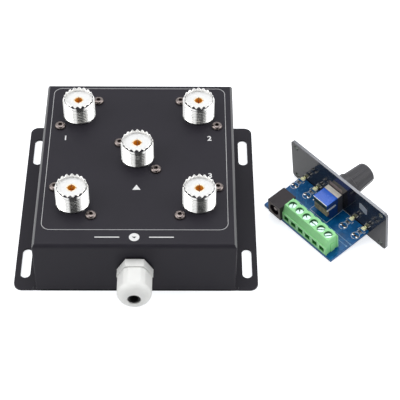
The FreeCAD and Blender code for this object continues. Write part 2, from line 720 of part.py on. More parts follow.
PILLAR_SPOTS = [("%d*pillar_x" % side, end) for side in (-1, 1)
                for end in ("pillar_back_y", "pillar_front_y")]


# ---- relay box: covers ------------------------------------------------------------------------

def top_cover():
    """Folded sheet: five sides, and two slotted feet turned outwards."""
    body = new_body("top_cover")
    outside = sketch_on(body, "cover_outside", "XY_Plane")
    rectangle(outside, "box_width", "box_depth")
    pad(body, outside, "box_height")
    fillet(body, "bend_radius", level_at("box_height"))
    fillet(body, "seam_radius", upright)
    feet = sketch_on(body, "feet", "XY_Plane")
    for side in (-1, 1):
        rectangle(feet, "foot_reach + sheet", "box_depth",
                  "%d*(box_width/2 + (foot_reach - sheet)/2)" % side)
    pad(body, feet, "sheet")
    fillet(body, "foot_corner",
           lambda box: upright(box) and same(abs(box.XMax), number("foot_edge")))
    inside = sketch_on(body, "cover_inside", "XY_Plane")
    rectangle(inside, "box_width - 2*sheet", "box_depth - 2*sheet")
    pocket(body, inside, "ceiling", reverse=True)
    fillet(body, "bend_radius - sheet", level_at("ceiling"))
    openings = sketch_on(body, "top_openings", "XY_Plane", "box_height")
    circles(openings, "thread_radius + hole_gap", SOCKET_SPOTS)
    circles(openings, "screw_hole/2", SCREW_SPOTS)
    pocket(body, openings, "2*sheet")
    slot_middles = sketch_on(body, "slot_middles", "XY_Plane")
    slot_ends = sketch_on(body, "slot_ends", "XY_Plane")
    notches = sketch_on(body, "relief_notches", "XY_Plane")
    for side in (-1, 1):
        x = "%d*slot_x" % side
        for y in ("slot_back_y", "slot_front_y"):
            rectangle(slot_middles, "slot_width", "slot_flat", x, y)
            circles(slot_ends, "slot_width/2", [(x, y + " + slot_flat/2"), (x, y + " - slot_flat/2")])
        for end in (-1, 1):
            rectangle(notches, "relief_notch", "2*relief_notch",
                      "%d*(box_width/2 + relief_notch/2)" % side, "%d*box_depth/2" % end)
    for cut in (slot_middles, slot_ends, notches):
        pocket(body, cut, "2*sheet", reverse=True)
    gland_opening = sketch_on(body, "gland_opening", "XZ_Plane", "box_depth/2")
    circle(gland_opening, "gland_thread/2 + hole_gap", "0", "gland_z")
    pocket(body, gland_opening, "2*sheet")
    return body


def bottom_cover():
    body = block("bottom_cover", "box_width - 2*sheet - 2*cover_gap",
                 "box_depth - 2*sheet - 2*cover_gap", "bottom_recess", "bottom_top")
    holes = sketch_on(body, "bottom_holes", "XY_Plane", "bottom_top")
    circles(holes, "screw_hole/2", PILLAR_SPOTS)
    pocket(body, holes)
    return body


keep(top_cover())
keep(bottom_cover())

pillar = hexagonal_nut("pillar", "nut_flats", "tap_radius", "0", "pillar_length")
keep(group("board_pillars", spread(pillar, PILLAR_SPOTS, "bottom_top")))


def headed_screw(label, length, head, height, rounding):
    """Its shank below Z 0, and above it a head with a rounded upper edge."""
    body = turned(label, [
        ("0", "-(%s)" % length), ("screw_diameter/2", "-(%s)" % length), ("screw_diameter/2", "0"),
        ("(%s)/2" % head, "0"), ("(%s)/2" % head, height), ("0", height)])
    fillet(body, rounding, ring_at(height, head))
    return body


pan_screw = headed_screw("pan_screw", "pan_screw_length", "pan_head", "pan_height",
                         "pan_height - pan_rim")
crossed_slots(pan_screw, "pan_height", "recess_length", "recess_width", "recess_depth")
keep(group("pillar_screws", spread(pan_screw, PILLAR_SPOTS, "relay_board_top")
           + spread(pan_screw, PILLAR_SPOTS, "bottom_recess", UPSIDE_DOWN)))


# ---- relay box: sockets -----------------------------------------------------------------------

def socket_shell(label):
    """Flange and threaded barrel in one, with a notched rim; Z 0 is the flange's upper face."""
    body = new_body(label)
    flange = sketch_on(body, label + "_flange", "XY_Plane", "-flange_thickness")
    rectangle(flange, "flange_side", "flange_side")
    pad(body, flange, "flange_thickness")
    barrel = sketch_on(body, label + "_barrel", "XZ_Plane")
    polygon(barrel, [("0", "-flange_thickness/2"), ("relief_radius", "-flange_thickness/2"),
                     ("relief_radius", "relief_top"), ("thread_radius", "relief_top"),
                     ("thread_radius", "barrel_top - rim_chamfer"),
                     ("thread_radius - rim_chamfer", "barrel_top"), ("0", "barrel_top")])
    revolve(body, barrel)
    mouth = sketch_on(body, label + "_mouth", "XY_Plane", "barrel_top")
    circle(mouth, "rim_bore/2")
    pocket(body, mouth, "barrel_top - shoulder_height")
    through = sketch_on(body, label + "_through", "XY_Plane")
    circle(through, "rear_bore/2")
    for column in (-1, 1):
        for row in (-1, 1):
            circle(through, "screw_hole/2", "%d*screw_offset" % column, "%d*screw_offset" % row)
    pocket(body, through, "4*flange_thickness", middle=True)
    notch = sketch_on(body, label + "_notch", "YZ_Plane")
    polygon(notch, [("-notch_width/2", "barrel_top"), ("0", "barrel_top - notch_depth"),
                    ("notch_width/2", "barrel_top")])
    one_notch = pocket(body, notch, "thread_diameter", reverse=True)
    ring = body.newObject("PartDesign::PolarPattern", label + "_rim")
    ring.Originals = [one_notch]
    ring.Axis = (origin_feature(body, "Z_Axis"), [""])
    ring.Angle = 360
    ring.setExpression("Occurrences", link("rim_notches"))
    body.Tip = ring
    finish(body, ring, False, one_notch)
    return body


for (name, column, row, diagonal), (x, y) in zip(SOCKETS, SOCKET_SPOTS):
    keep(socket_shell(name + "_shell"), place(x, y, "ceiling"))

insulator = turned("insulator", [
    ("contact_diameter/2 + fit_gap", "insulator_bottom"), ("rear_bore/2 - fit_gap", "insulator_bottom"),
    ("rear_bore/2 - fit_gap", "shoulder_height"), ("rim_bore/2 - fit_gap", "shoulder_height"),
    ("rim_bore/2 - fit_gap", "insulator_top"), ("contact_diameter/2 + fit_gap", "insulator_top")])
keep(group("socket_insulators", spread(insulator, SOCKET_SPOTS, "ceiling")))

contact = turned("contact", [
    ("0", "tail_end"), ("tail_diameter/2", "tail_end"), ("tail_diameter/2", "insulator_bottom"),
    ("contact_diameter/2", "insulator_bottom"), ("contact_diameter/2", "insulator_top"),
    ("contact_bore/2", "insulator_top"), ("contact_bore/2", "insulator_top - contact_depth"),
    ("0", "insulator_top - contact_depth")])
crossed_slots(contact, "insulator_top", "2*contact_diameter", "contact_slot", "contact_slot_depth")
keep(group("socket_contacts", spread(contact, SOCKET_SPOTS, "ceiling")))

socket_screw = headed_screw("socket_screw", "socket_screw_length", "button_head", "button_height",
                            "button_height - button_rim")
key_socket = sketch_on(socket_screw, "key_socket", "XY_Plane", "button_height")
hexagon(key_socket, "hex_key")
pocket(socket_screw, key_socket, "hex_key_depth")
keep(group("socket_screws", spread(socket_screw, SCREW_SPOTS, "box_height")))

spacer = tube("spacer", "spacer_diameter/2", "screw_hole/2", "0", "spacer_length")
keep(group("socket_spacers", spread(spacer, SCREW_SPOTS, "relay_board_top")))

nut = hexagonal_nut("nut", "nut_flats", "tap_radius", "0", "nut_height")
keep(group("socket_nuts", spread(nut, SCREW_SPOTS, "relay_board_bottom - nut_height")))


# ---- relay box: relays, hung under the board --------------------------------------------------

RELAY_SPOTS = [("-relay_x", "socket_y + relay_y"), ("relay_x", "socket_y + relay_y"),
               ("relay_x", "socket_y - relay_y"), ("-relay_x", "socket_y - relay_y")]
# the pins of one relay: across its width, along its length
RELAY_PINS = [("-coil_pin_x", "coil_pin_y"), ("coil_pin_x", "coil_pin_y"), ("0", "yoke_pin_y"),
              ("-post_x", "post_y"), ("post_x", "post_y")]


def on_relays(master):
    """A piece in each relay: its Z runs from the board's underside down into the case."""
    return spread(master, RELAY_SPOTS, "relay_board_bottom", UPSIDE_DOWN)


relay_base = block("relay_base", "relay_inner_width - 2*hole_gap", "relay_inner_length - 2*hole_gap",
                   "0", "relay_base_height")
base_holes = sketch_on(relay_base, "relay_base_holes", "XY_Plane", "relay_base_height")
circles(base_holes, "pin_radius + fit_gap", RELAY_PINS)
pocket(relay_base, base_holes)
keep(group("relay_bases", on_relays(relay_base)))

relay_case = block("relay_case", "relay_width", "relay_length", "0", "relay_height")
case_inside = sketch_on(relay_case, "relay_case_inside", "XY_Plane")
rectangle(case_inside, "relay_inner_width", "relay_inner_length")
pocket(relay_case, case_inside, "relay_height - relay_wall", reverse=True)
keep(group("relay_cases", on_relays(relay_case)))

relay_coil = turned("relay_coil", [
    ("core_diameter/2 + fit_gap", "bobbin_low"), ("bobbin_diameter/2", "bobbin_low"),
    ("bobbin_diameter/2", "bobbin_low + bobbin_flange"),
    ("winding_diameter/2", "bobbin_low + bobbin_flange"),
    ("winding_diameter/2", "bobbin_top - bobbin_flange"),
    ("bobbin_diameter/2", "bobbin_top - bobbin_flange"),
    ("bobbin_diameter/2", "bobbin_top"), ("core_diameter/2 + fit_gap", "bobbin_top")])
keep(group("relay_coils", on_relays(relay_coil)))

relay_yoke = new_body("relay_yoke")
yoke_side = sketch_on(relay_yoke, "yoke_side", "YZ_Plane", "-armature_width/2")
polygon(yoke_side, [("-pole_diameter/2", "relay_base_height"), ("yoke_outer", "relay_base_height"),
                    ("yoke_outer", "yoke_top"), ("yoke_inner", "yoke_top"),
                    ("yoke_inner", "bobbin_low"), ("-pole_diameter/2", "bobbin_low")])
pad(relay_yoke, yoke_side, "armature_width")
yoke_core = sketch_on(relay_yoke, "yoke_core", "XZ_Plane")
polygon(yoke_core, [("0", "relay_base_height"), ("core_diameter/2", "relay_base_height"),
                    ("core_diameter/2", "bobbin_top"), ("pole_diameter/2", "bobbin_top"),
                    ("pole_diameter/2", "pole_top"), ("0", "pole_top")])
revolve(relay_yoke, yoke_core)
keep(group("relay_yokes", on_relays(relay_yoke)))


def contact_post(label, x, arm_top):
    """An upright post with an arm over or under the armature's blade."""
    body = block(label, "post_width", "contact_arm", "relay_base_height", arm_top, x, "post_y")
    arm = sketch_on(body, label + "_arm", "XY_Plane", arm_top + " - contact_arm")
    rectangle(arm, "post_width", "arm_end - post_y", x, "(arm_end + post_y)/2")
    pad(body, arm, "contact_arm")
    return body


relay_pin = rod("relay_pin", "pin_radius", "-board_thickness - pin_stub", "relay_base_height")
contacts = on_relays(contact_post("open_post", "-post_x", "open_arm_top"))
contacts += on_relays(contact_post("closed_post", "post_x", "closed_arm_top"))
for x, y in RELAY_SPOTS:
    relay_frame = place(x, y, "relay_board_bottom", UPSIDE_DOWN)
    contacts += spread(relay_pin, RELAY_PINS, "0", base=relay_frame)
keep(group("relay_contacts", contacts))


def armature(label):
    """Iron plate with its contact blade on top, resting clear of the pole face."""
    body = block(label, "armature_width", "yoke_outer - armature_nose", "armature_low",
                 "armature_top", "0", "(yoke_outer + armature_nose)/2")
    blade = sketch_on(body, label + "_blade", "XY_Plane", "armature_top")
    rectangle(blade, "armature_width", "yoke_inner - blade_end", "0", "(yoke_inner + blade_end)/2")
    pad(body, blade, "blade_thickness")
    return body


for index, (x, y) in enumerate(RELAY_SPOTS, start=1):
    keep(armature("armature_%d" % index), place(x, y, "relay_board_bottom", UPSIDE_DOWN))


# ---- screw terminals --------------------------------------------------------------------------

WAYS = int(number("terminal_ways"))
WAY_SPOTS = [("(%d - (terminal_ways - 1)/2)*terminal_pitch" % way, "0") for way in range(WAYS)]
SLOT_TURNS = (120, 140, 145, 0, 40, 52)     # how the controller's screws were left, in degrees


def terminal_housing(label):
    """Wire entries face -Y, screws stand on the X axis, Z 0 is the board's face."""
    body = new_body(label)
    side = sketch_on(body, label + "_side", "YZ_Plane", "-terminal_length/2")
    polygon(side, [("-terminal_back", "0"), ("terminal_front", "0"),
                   ("terminal_front", "terminal_height - 2*top_chamfer"),
                   ("terminal_front - top_chamfer", "terminal_height"),
                   ("-terminal_top_back", "terminal_height"),
                   ("terminal_step - terminal_back", "terminal_lower"),
                   ("-terminal_back", "terminal_lower")])
    pad(body, side, "terminal_length")
    rib = sketch_on(body, label + "_rib", "YZ_Plane", "terminal_length/2")
    rectangle(rib, "rib_length", "terminal_lower", "0", "terminal_lower/2")
    pad(body, rib, "rib_reach")
    chambers = sketch_on(body, label + "_chambers", "XY_Plane")
    shafts = sketch_on(body, label + "_shafts", "XY_Plane", "terminal_height")
    wells = sketch_on(body, label + "_wells", "XY_Plane", "terminal_height")
    entries = sketch_on(body, label + "_entries", "XZ_Plane", "terminal_back")
    for x, y in WAY_SPOTS:
        rectangle(chambers, "cavity_width", "cavity_back + cavity_front", x,
                  "(cavity_front - cavity_back)/2")
        circle(shafts, "clamp_screw_diameter/2 + hole_gap", x)
        circle(wells, "well_radius", x)
        rectangle(entries, "entry_width", "entry_height", x, "entry_low + entry_height/2")
    pocket(body, chambers, "cavity_height", reverse=True)
    pocket(body, shafts, "terminal_height - cavity_height")
    pocket(body, wells, "terminal_height - cavity_height - ledge")
    pocket(body, entries, "terminal_foot + clamp_play")
    return body


def clamp_screw(label):
    """Slotted screw that turns in place; its head sits on the housing's ledge."""
    body = turned(label, [
        ("0", "bar_top + clamp_clear"), ("clamp_screw_diameter/2", "bar_top + clamp_clear"),
        ("clamp_screw_diameter/2", "head_low"), ("head_radius", "head_low"),
        ("head_radius", "head_top"), ("0", "head_top")])
    slot = sketch_on(body, label + "_slot", "XY_Plane", "head_top")
    rectangle(slot, "3*head_radius", "driver_slot")
    pocket(body, slot, "driver_slot_depth")
    return body


def wire_clamp(label):
    """Threaded cage that rises as its screw is turned, and takes the wire in its window."""
    body = block(label, "clamp_width", "clamp_depth", "clamp_low", "clamp_high")
    window = sketch_on(body, label + "_window", "XZ_Plane", "clamp_depth")
    rectangle(window, "clamp_width - 2*clamp_side", "clamp_window_top - clamp_window_low", "0",
              "(clamp_window_top + clamp_window_low)/2")
    pocket(body, window)
    thread = sketch_on(body, label + "_thread", "XY_Plane", "clamp_high")
    circle(thread, "clamp_tap")
    pocket(body, thread, "clamp_top + clamp_clear")
    return body


def terminal_contact(label):
    """The bar that a wire is pressed against, and its leg through the board."""
    body = block(label, "bar_width", "bar_back + leg_y", "bar_low", "bar_top",
                 "0", "(leg_y - bar_back)/2")
    leg = sketch_on(body, label + "_leg", "XY_Plane", "-board_thickness - pin_stub")
    circle(leg, "pin_radius", "0", "leg_y")
    pad(body, leg, "board_thickness + pin_stub + bar_top")
    return body


terminal_pin = terminal_contact("terminal_pin")
INNER_TERMINAL = place("0", "inner_terminal_y", "relay_board_bottom", UPSIDE_DOWN)
keep(terminal_housing("inner_terminal_housing"), INNER_TERMINAL)
for label, master in (("inner_terminal_screws", clamp_screw("inner_screw")),
                      ("inner_terminal_clamps", wire_clamp("inner_clamp")),
                      ("inner_terminal_pins", terminal_pin)):
    keep(group(label, spread(master, WAY_SPOTS, "0", base=INNER_TERMINAL)))


# ---- relay board ------------------------------------------------------------------------------

relay_board = block("relay_board", "relay_board_width", "relay_board_depth", "relay_board_bottom",
                    "relay_board_top", "0", "relay_board_y")
board_openings = sketch_on(relay_board, "board_openings", "XY_Plane", "relay_board_top")
circles(board_openings, "tail_diameter/2 + hole_gap", SOCKET_SPOTS)
circles(board_openings, "screw_hole/2", SCREW_SPOTS + PILLAR_SPOTS)
for relay_x, relay_y in RELAY_SPOTS:
    circles(board_openings, "pin_hole", [("%s + (%s)" % (relay_x, x), "%s + %s" % (relay_y, y))
                                         for x, y in RELAY_PINS])
circles(board_openings, "pin_hole", [(x, "inner_terminal_y + leg_y") for x, y in WAY_SPOTS])
pocket(relay_board, board_openings)
keep(relay_board)


# ---- cable gland ------------------------------------------------------------------------------

# the gland's frame: Z out of the front wall, from its outer face
GLAND = place("0", "-box_depth/2", "gland_z", Rotation(Vector(1, 0, 0), 90))

gland_body = turned("gland_body", [
    ("gland_bore/2", "-gland_tail"), ("gland_thread/2", "-gland_tail"),
    ("gland_thread/2", "neck_end"), ("seal_room", "neck_end"),
    ("seal_room", "seal_low - dome_clear"), ("gland_bore/2", "seal_low - dome_clear")])
collar = sketch_on(gland_body, "gland_collar_outline", "XY_Plane", "gasket_thickness")
hexagon(collar, "gland_flats")
circle(collar, "(gland_thread + gland_bore)/4")
pad(gland_body, collar, "gland_collar")
keep(gland_body, GLAND)

keep(tube("gland_gasket", "gasket_diameter/2", "gland_thread/2 + hole_gap", "0", "gasket_thickness"),
     GLAND)
keep(turned("gland_seal", [
    ("seal_bore/2", "seal_low"), ("seal_diameter/2", "seal_low"), ("seal_diameter/2", "taper_end"),
    ("dome_mouth/2 - hole_gap", "taper_end"), ("dome_mouth/2 - hole_gap", "seal_end"),
    ("seal_bore/2", "seal_end")]), GLAND)

dome_nut = turned("gland_dome_nut", [
    ("gland_thread/2 + dome_play", "dome_low"), ("dome_diameter/2", "dome_low"),
    ("dome_diameter/2", "dome_end"), ("dome_mouth/2", "dome_end"),
    ("dome_mouth/2", "taper_end"), ("seal_room", "taper_end"),
    ("gland_thread/2 + dome_play", "taper_start")])
fillet(dome_nut, "dome_round", ring_at("dome_end", "dome_diameter"))
dome_flats = sketch_on(dome_nut, "dome_flats_outline", "XY_Plane", "dome_low")
hexagon(dome_flats, "dome_flats")
circle(dome_flats, "dome_diameter")
pocket(dome_nut, dome_flats, "dome_end - dome_low - dome_round", reverse=True)
keep(dome_nut, GLAND)

keep(hexagonal_nut("gland_lock_nut", "lock_flats", "gland_thread/2 + fit_gap",
                   "-sheet - lock_height", "lock_height"), GLAND)


# ---- controller: panel and board --------------------------------------------------------------

# It stands on the panel's rear lower edge and on the board's rear lower edge, so it leans back.
LEAN = math.degrees(math.atan2(number("control_board_low"), -number("control_board_rear")))
CONTROLLER = place("controller_x", "controller_y", "0",
                   Rotation(Vector(0, 0, 1), number("controller_heading")))
CONTROLLER = CONTROLLER.multiply(Placement(Vector(), Rotation(Vector(1, 0, 0), LEAN)))
# about the knob's axis: Z runs forward from the panel's rear face, Y runs down
KNOB_AXIS = CONTROLLER.multiply(place("-knob_shift", "0", "knob_z", Rotation(Vector(1, 0, 0), -90)))
CONTROL_TERMINAL = CONTROLLER.multiply(place("terminal_x", "terminal_y", "control_board_top"))

LED_COLUMNS = ["board_left + led_inset_left", "board_left + led_inset_left + led_step_left",
               "board_right - led_inset_right - led_step_right", "board_right - led_inset_right"]
SWITCH_PINS = [("-knob_shift + %d*switch_pin_pitch" % step, "switch_pin_y") for step in (-1, 0, 1)]
SWITCH_PINS += [("-knob_shift + %d*switch_pin_pitch/2" % step, "switch_pin_y - switch_pin_pitch")
                for step in (-1, 1)]
JACK_PINS = [("jack_x", "jack_core_y"), ("jack_x", "jack_spring_y")]


def front_panel():
    body = new_body("front_panel")
    outline = sketch_on(body, "panel_outline", "XZ_Plane", "-panel_thickness")
    rectangle(outline, "panel_width", "panel_height", "0", "panel_height/2")
    pad(body, outline, "panel_thickness")
    fillet(body, "panel_corner", lambda box: same(box.YLength, number("panel_thickness")))
    holes = sketch_on(body, "panel_holes", "XZ_Plane")
    for side in (-1, 1):
        for height in ("panel_inset_z", "panel_height - panel_inset_z"):
            circle(holes, "panel_hole/2", "%d*(panel_width/2 - panel_inset_x)" % side, height)
    circle(holes, "bushing_radius + hole_gap", "-knob_shift", "knob_z")
    circles(holes, "led_window/2", [(column, "led_window_z") for column in LED_COLUMNS])
    pocket(body, holes)
    return body


def controller_board():
    body = block("controller_board", "control_board_width", "control_board_depth",
                 "control_board_low", "control_board_top", "-control_board_shift",
                 "(control_board_rear - control_board_gap)/2")
    holes = sketch_on(body, "controller_board_holes", "XY_Plane", "control_board_top")
    terminal_legs = [("terminal_x + " + x, "terminal_y + leg_y") for x, y in WAY_SPOTS]
    circles(holes, "pin_hole", terminal_legs + SWITCH_PINS + JACK_PINS)
    pocket(body, holes)
    return body


keep(front_panel(), CONTROLLER)
keep(controller_board(), CONTROLLER)


# ---- controller: rotary switch ----------------------------------------------------------------

def switch_block(label, low, length):
    """Part of the switch's body, standing on the board, about the knob's axis."""
    return block(label, "switch_width", "switch_height", low, "%s + %s" % (low, length),
                 "0", "knob_axis_height - switch_height/2")


switch_frame = switch_block("switch_frame", "-switch_frame_length", "switch_frame_length")
bushing = sketch_on(switch_frame, "bushing_outline", "XY_Plane")
circle(bushing, "bushing_radius")
pad(switch_frame, bushing, "bushing_end")
bushing_hole = sketch_on(switch_frame, "bushing_hole", "XY_Plane", "bushing_end")
circle(bushing_hole, "bushing_bore")
pocket(switch_frame, bushing_hole)
keep(switch_frame, KNOB_AXIS)

switch_case = switch_block("switch_case", "-switch_frame_length - switch_case_length",
                           "switch_case_length")
rotor_room = sketch_on(switch_case, "rotor_room", "XY_Plane", "-switch_frame_length")
circle(rotor_room, "rotor_diameter/2 + rotor_play")
pocket(switch_case, rotor_room, "rotor_length + 2*rotor_play")
keep(switch_case, KNOB_AXIS)

switch_pin = rod("switch_pin", "pin_radius", "-board_thickness - pin_stub", "0")
keep(group("switch_pins", spread(switch_pin, SWITCH_PINS, "control_board_top", base=CONTROLLER)))

keep(turned("selector_shaft", [
    ("0", "rotor_rear"), ("rotor_diameter/2", "rotor_rear"), ("rotor_diameter/2", "rotor_front"),
    ("shaft_radius", "rotor_front"), ("shaft_radius", "shaft_end - shaft_chamfer"),
    ("shaft_radius - shaft_chamfer", "shaft_end"), ("0", "shaft_end")]), KNOB_AXIS)
keep(hexagonal_nut("shaft_nut", "shaft_nut_flats", "bushing_radius + fit_gap",
                   "panel_thickness", "shaft_nut_height"), KNOB_AXIS)


# ---- controller: knob -------------------------------------------------------------------------

# the knob's X side carries its pointer
KNOB = KNOB_AXIS.multiply(Placement(Vector(), Rotation(Vector(0, 0, 1), -number("pointer_angle"))))

knob = turned("selector_knob", [
    ("shaft_radius + fit_gap", "nut_room_end"), ("nut_room", "nut_room_end"),
    ("nut_room", "knob_start"), ("collar_radius", "knob_start"),
    ("collar_radius", "collar_stop - knob_edge"), ("grip_base", "collar_stop"),
    ("grip_end", "knob_end - knob_edge"), ("grip_end - knob_edge", "knob_end"), ("0", "knob_end"),
    ("0", "shaft_end + knob_clear"), ("shaft_radius + fit_gap", "shaft_end + knob_clear")])
pointer = sketch_on(knob, "pointer_groove", "XZ_Plane")
polygon(pointer, [("grip_base - pointer_depth", "collar_stop + knob_edge"),
                  ("collar_radius", "collar_stop + knob_edge"), ("collar_radius", "knob_end"),
                  ("grip_end - pointer_depth", "knob_end")])
pocket(knob, pointer, "pointer_width", middle=True)
grub_hole = sketch_on(knob, "grub_hole", "YZ_Plane")
circle(grub_hole, "tap_radius", "0", "grub_z")
pocket(knob, grub_hole, "2*collar_radius")
keep(knob, KNOB)

grub_screw = rod("knob_grub_screw", "screw_diameter/2", "0", "grub_length")
grub_socket = sketch_on(grub_screw, "grub_socket", "XY_Plane", "grub_length")
hexagon(grub_socket, "grub_key")
pocket(grub_screw, grub_socket, "hex_key_depth")
keep(grub_screw, KNOB.multiply(place("-shaft_radius - fit_gap", "0", "grub_z",
                                     Rotation(Vector(0, 1, 0), -90))))


# ---- controller: power jack -------------------------------------------------------------------

def dc_jack_body():
    body = block("dc_jack_body", "jack_width", "jack_length", "control_board_top",
                 "control_board_top + jack_height", "jack_x", "jack_rear + jack_length/2")
    mouth = sketch_on(body, "jack_mouth", "XZ_Plane", "-jack_rear")
    circle(mouth, "jack_bore/2", "jack_x", "jack_z")
    pocket(body, mouth, "jack_depth")
    pin_seat = sketch_on(body, "jack_pin_seat", "XZ_Plane", "-jack_rear")
    circle(pin_seat, "jack_pin_diameter/2 + fit_gap", "jack_x", "jack_z")
    pocket(body, pin_seat, "jack_core_y - jack_rear + pin_radius")
    leg_ways = sketch_on(body, "jack_leg_ways", "XY_Plane", "control_board_top")
    circles(leg_ways, "pin_radius + fit_gap", JACK_PINS)
    pocket(body, leg_ways, "jack_axis", reverse=True)
    return body


def centre_pin():
    body = new_body("centre_pin")
    round_pin = sketch_on(body, "round_pin", "XZ_Plane", "-jack_rear - jack_pin_recess")
    circle(round_pin, "jack_pin_diameter/2", "jack_x", "jack_z")
    pad(body, round_pin, "jack_core_y - jack_rear - jack_pin_recess + pin_radius", reverse=True)
    leg = sketch_on(body, "centre_pin_leg", "XY_Plane", "control_board_low - pin_stub")
    circle(leg, "pin_radius", "jack_x", "jack_core_y")
    pad(body, leg, "board_thickness + pin_stub + jack_axis")
    return body


def sleeve_spring():
    body = block("sleeve_spring", "spring_width", "jack_depth/2", "spring_low",
                 "spring_low + spring_thickness", "jack_x", "jack_spring_y")
    leg = sketch_on(body, "sleeve_spring_leg", "XY_Plane", "control_board_low - pin_stub")
    circle(leg, "pin_radius", "jack_x", "jack_spring_y")
    pad(body, leg, "spring_low - control_board_low + pin_stub + spring_thickness/2")
    return body


keep(dc_jack_body(), CONTROLLER)
keep(group("dc_jack_contacts", [(centre_pin(), CONTROLLER), (sleeve_spring(), CONTROLLER)]))


# ---- controller: terminal and lights ----------------------------------------------------------

keep(terminal_housing("terminal_housing"), CONTROL_TERMINAL)
keep(group("terminal_pins", spread(terminal_pin, WAY_SPOTS, "0", base=CONTROL_TERMINAL)))
for way, (x, y) in enumerate(WAY_SPOTS, start=1):
    pole = CONTROL_TERMINAL.multiply(place(x, y, "0"))
    left_at = place("0", "0", "0", Rotation(Vector(0, 0, 1), SLOT_TURNS[(way - 1) % len(SLOT_TURNS)]))
    keep(clamp_screw("terminal_screw_%d" % way), pole.multiply(left_at))
    keep(wire_clamp("wire_clamp_%d" % way), pole)

led = block("led", "led_width", "led_depth", "0", "led_height")
keep(group("status_leds", spread(led, [(column, "led_y") for column in LED_COLUMNS],
                                 "control_board_top", base=CONTROLLER)))
resistor = block("resistor", "resistor_length", "resistor_depth", "0", "resistor_height")
keep(group("led_resistors", spread(resistor, [(column, "resistor_y") for column in LED_COLUMNS],
                                   "control_board_top", base=CONTROLLER)))


# ---- checks and files -------------------------------------------------------------------------

doc.recompute()
for item in doc.Objects:
    for word in item.State:
        if word in ("Invalid", "Error"):
            raise RuntimeError("%s is %s" % (item.Label, word))
os.makedirs("parts", exist_ok=True)
for node in nodes:
    if node.Shape.isNull() or not node.Shape.isValid():
        raise RuntimeError(node.Label + " has no valid shape")
    node.Shape.exportStep("parts/%s.step" % node.Label)
print("%d nodes" % len(nodes))
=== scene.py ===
"""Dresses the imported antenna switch: threads, prints, solder, small parts, finishes and light."""
import json
import math

import bmesh
import bpy
from mathutils import Matrix, Vector


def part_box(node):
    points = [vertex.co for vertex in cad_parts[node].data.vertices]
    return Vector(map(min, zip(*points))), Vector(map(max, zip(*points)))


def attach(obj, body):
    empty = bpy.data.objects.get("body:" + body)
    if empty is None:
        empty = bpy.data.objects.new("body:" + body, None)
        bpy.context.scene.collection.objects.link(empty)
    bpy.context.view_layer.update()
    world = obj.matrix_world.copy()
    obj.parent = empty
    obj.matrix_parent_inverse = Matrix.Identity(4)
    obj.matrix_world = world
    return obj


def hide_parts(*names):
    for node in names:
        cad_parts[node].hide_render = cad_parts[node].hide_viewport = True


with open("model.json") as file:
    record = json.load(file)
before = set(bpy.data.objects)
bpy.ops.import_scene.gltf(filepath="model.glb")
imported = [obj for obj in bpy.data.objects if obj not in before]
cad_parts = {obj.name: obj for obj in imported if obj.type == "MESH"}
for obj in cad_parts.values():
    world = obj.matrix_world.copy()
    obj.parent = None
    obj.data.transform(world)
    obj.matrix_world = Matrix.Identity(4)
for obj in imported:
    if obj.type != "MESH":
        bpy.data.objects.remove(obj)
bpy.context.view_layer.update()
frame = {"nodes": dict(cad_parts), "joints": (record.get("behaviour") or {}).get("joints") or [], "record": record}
record = frame["record"]
nodes = frame["nodes"]
scene = bpy.context.scene
mounts = {mount["name"]: mount for mount in record["mounts"]}
joints = {joint["name"]: joint for joint in frame["joints"]}

MM = 0.001
FIXED = "fixed_set"        # the body of all that doesn't move
WELD = 0.002               # mm, between points that are one
ON_PRINT = 0.02            # mm that printed marks stand out of their surface


# ---- where things are, in mm ------------------------------------------------------------------

def mount_point(name):
    return Vector(mounts[name]["pos_m"]) / MM


WORLD = Matrix.Scale(MM, 4)
cover_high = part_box("top_cover")[1] / MM
SHEET, FOOT_WIDTH = 1.2, 10.9
COVER_TOP, WALL_HALF = cover_high.z, cover_high.x - FOOT_WIDTH

# The controller's own frame: X right, Y out of the panel's front, Z up, seen from behind it. Its
# origin is the middle of the lower edge of the panel's rear face.
PANEL_THICKNESS, PANEL_HEIGHT = 1.5, 27.2
out = Vector(mounts["panel_hole_1"]["axis"])
up = Vector(joints["clamp_1_rise"]["axis"])
right = out.cross(up)
holes = [mount_point("panel_hole_%d" % k) for k in range(1, 5)]
origin = sum(holes, Vector()) / 4 - out * PANEL_THICKNESS - up * PANEL_HEIGHT / 2
CONTROLLER = WORLD @ Matrix.Translation(origin) @ Matrix((right, out, up)).transposed().to_4x4()
TO_CONTROLLER = CONTROLLER.inverted()
TO_FRONT = Matrix(((-1, 0, 0), (0, 0, 1), (0, 1, 0))).to_4x4()
TO_REAR = Matrix(((1, 0, 0), (0, 0, -1), (0, 1, 0))).to_4x4()


def facing_front(x, y, z):
    """A frame at a point of the controller: X left, Y up, Z out of the panel's front."""
    return CONTROLLER @ Matrix.Translation((x, y, z)) @ TO_FRONT


def joint_point(name):
    """A joint's place in the controller's frame."""
    return TO_CONTROLLER @ Vector(joints[name]["pos_m"])


def local_box(node):
    """A node's lowest and highest corner in the controller's frame."""
    points = [TO_CONTROLLER @ vertex.co for vertex in nodes[node].data.vertices]
    return [Vector([pick(point[i] for point in points) for i in range(3)]) for pick in (min, max)]


knob_axis = joint_point("selector_turn")
KNOB_X, KNOB_Z = knob_axis.x, knob_axis.z
BOARD_BOTTOM, BOARD_TOP = (point.z for point in local_box("controller_board"))
WAYS = [joint_point("screw_%d_turn" % k) for k in range(1, 7)]     # the terminal's screws

# The gland's frame: Z out of the front wall, from its outer face.
SEAL_END = 18.4
gland_root = mount_point("cable_passage") + Vector((0, SEAL_END, 0))
GLAND = WORLD @ Matrix.Translation(gland_root) @ Matrix.Rotation(math.pi / 2, 4, "X")


# ---- meshes: parts are (vertices, faces) in mm ------------------------------------------------

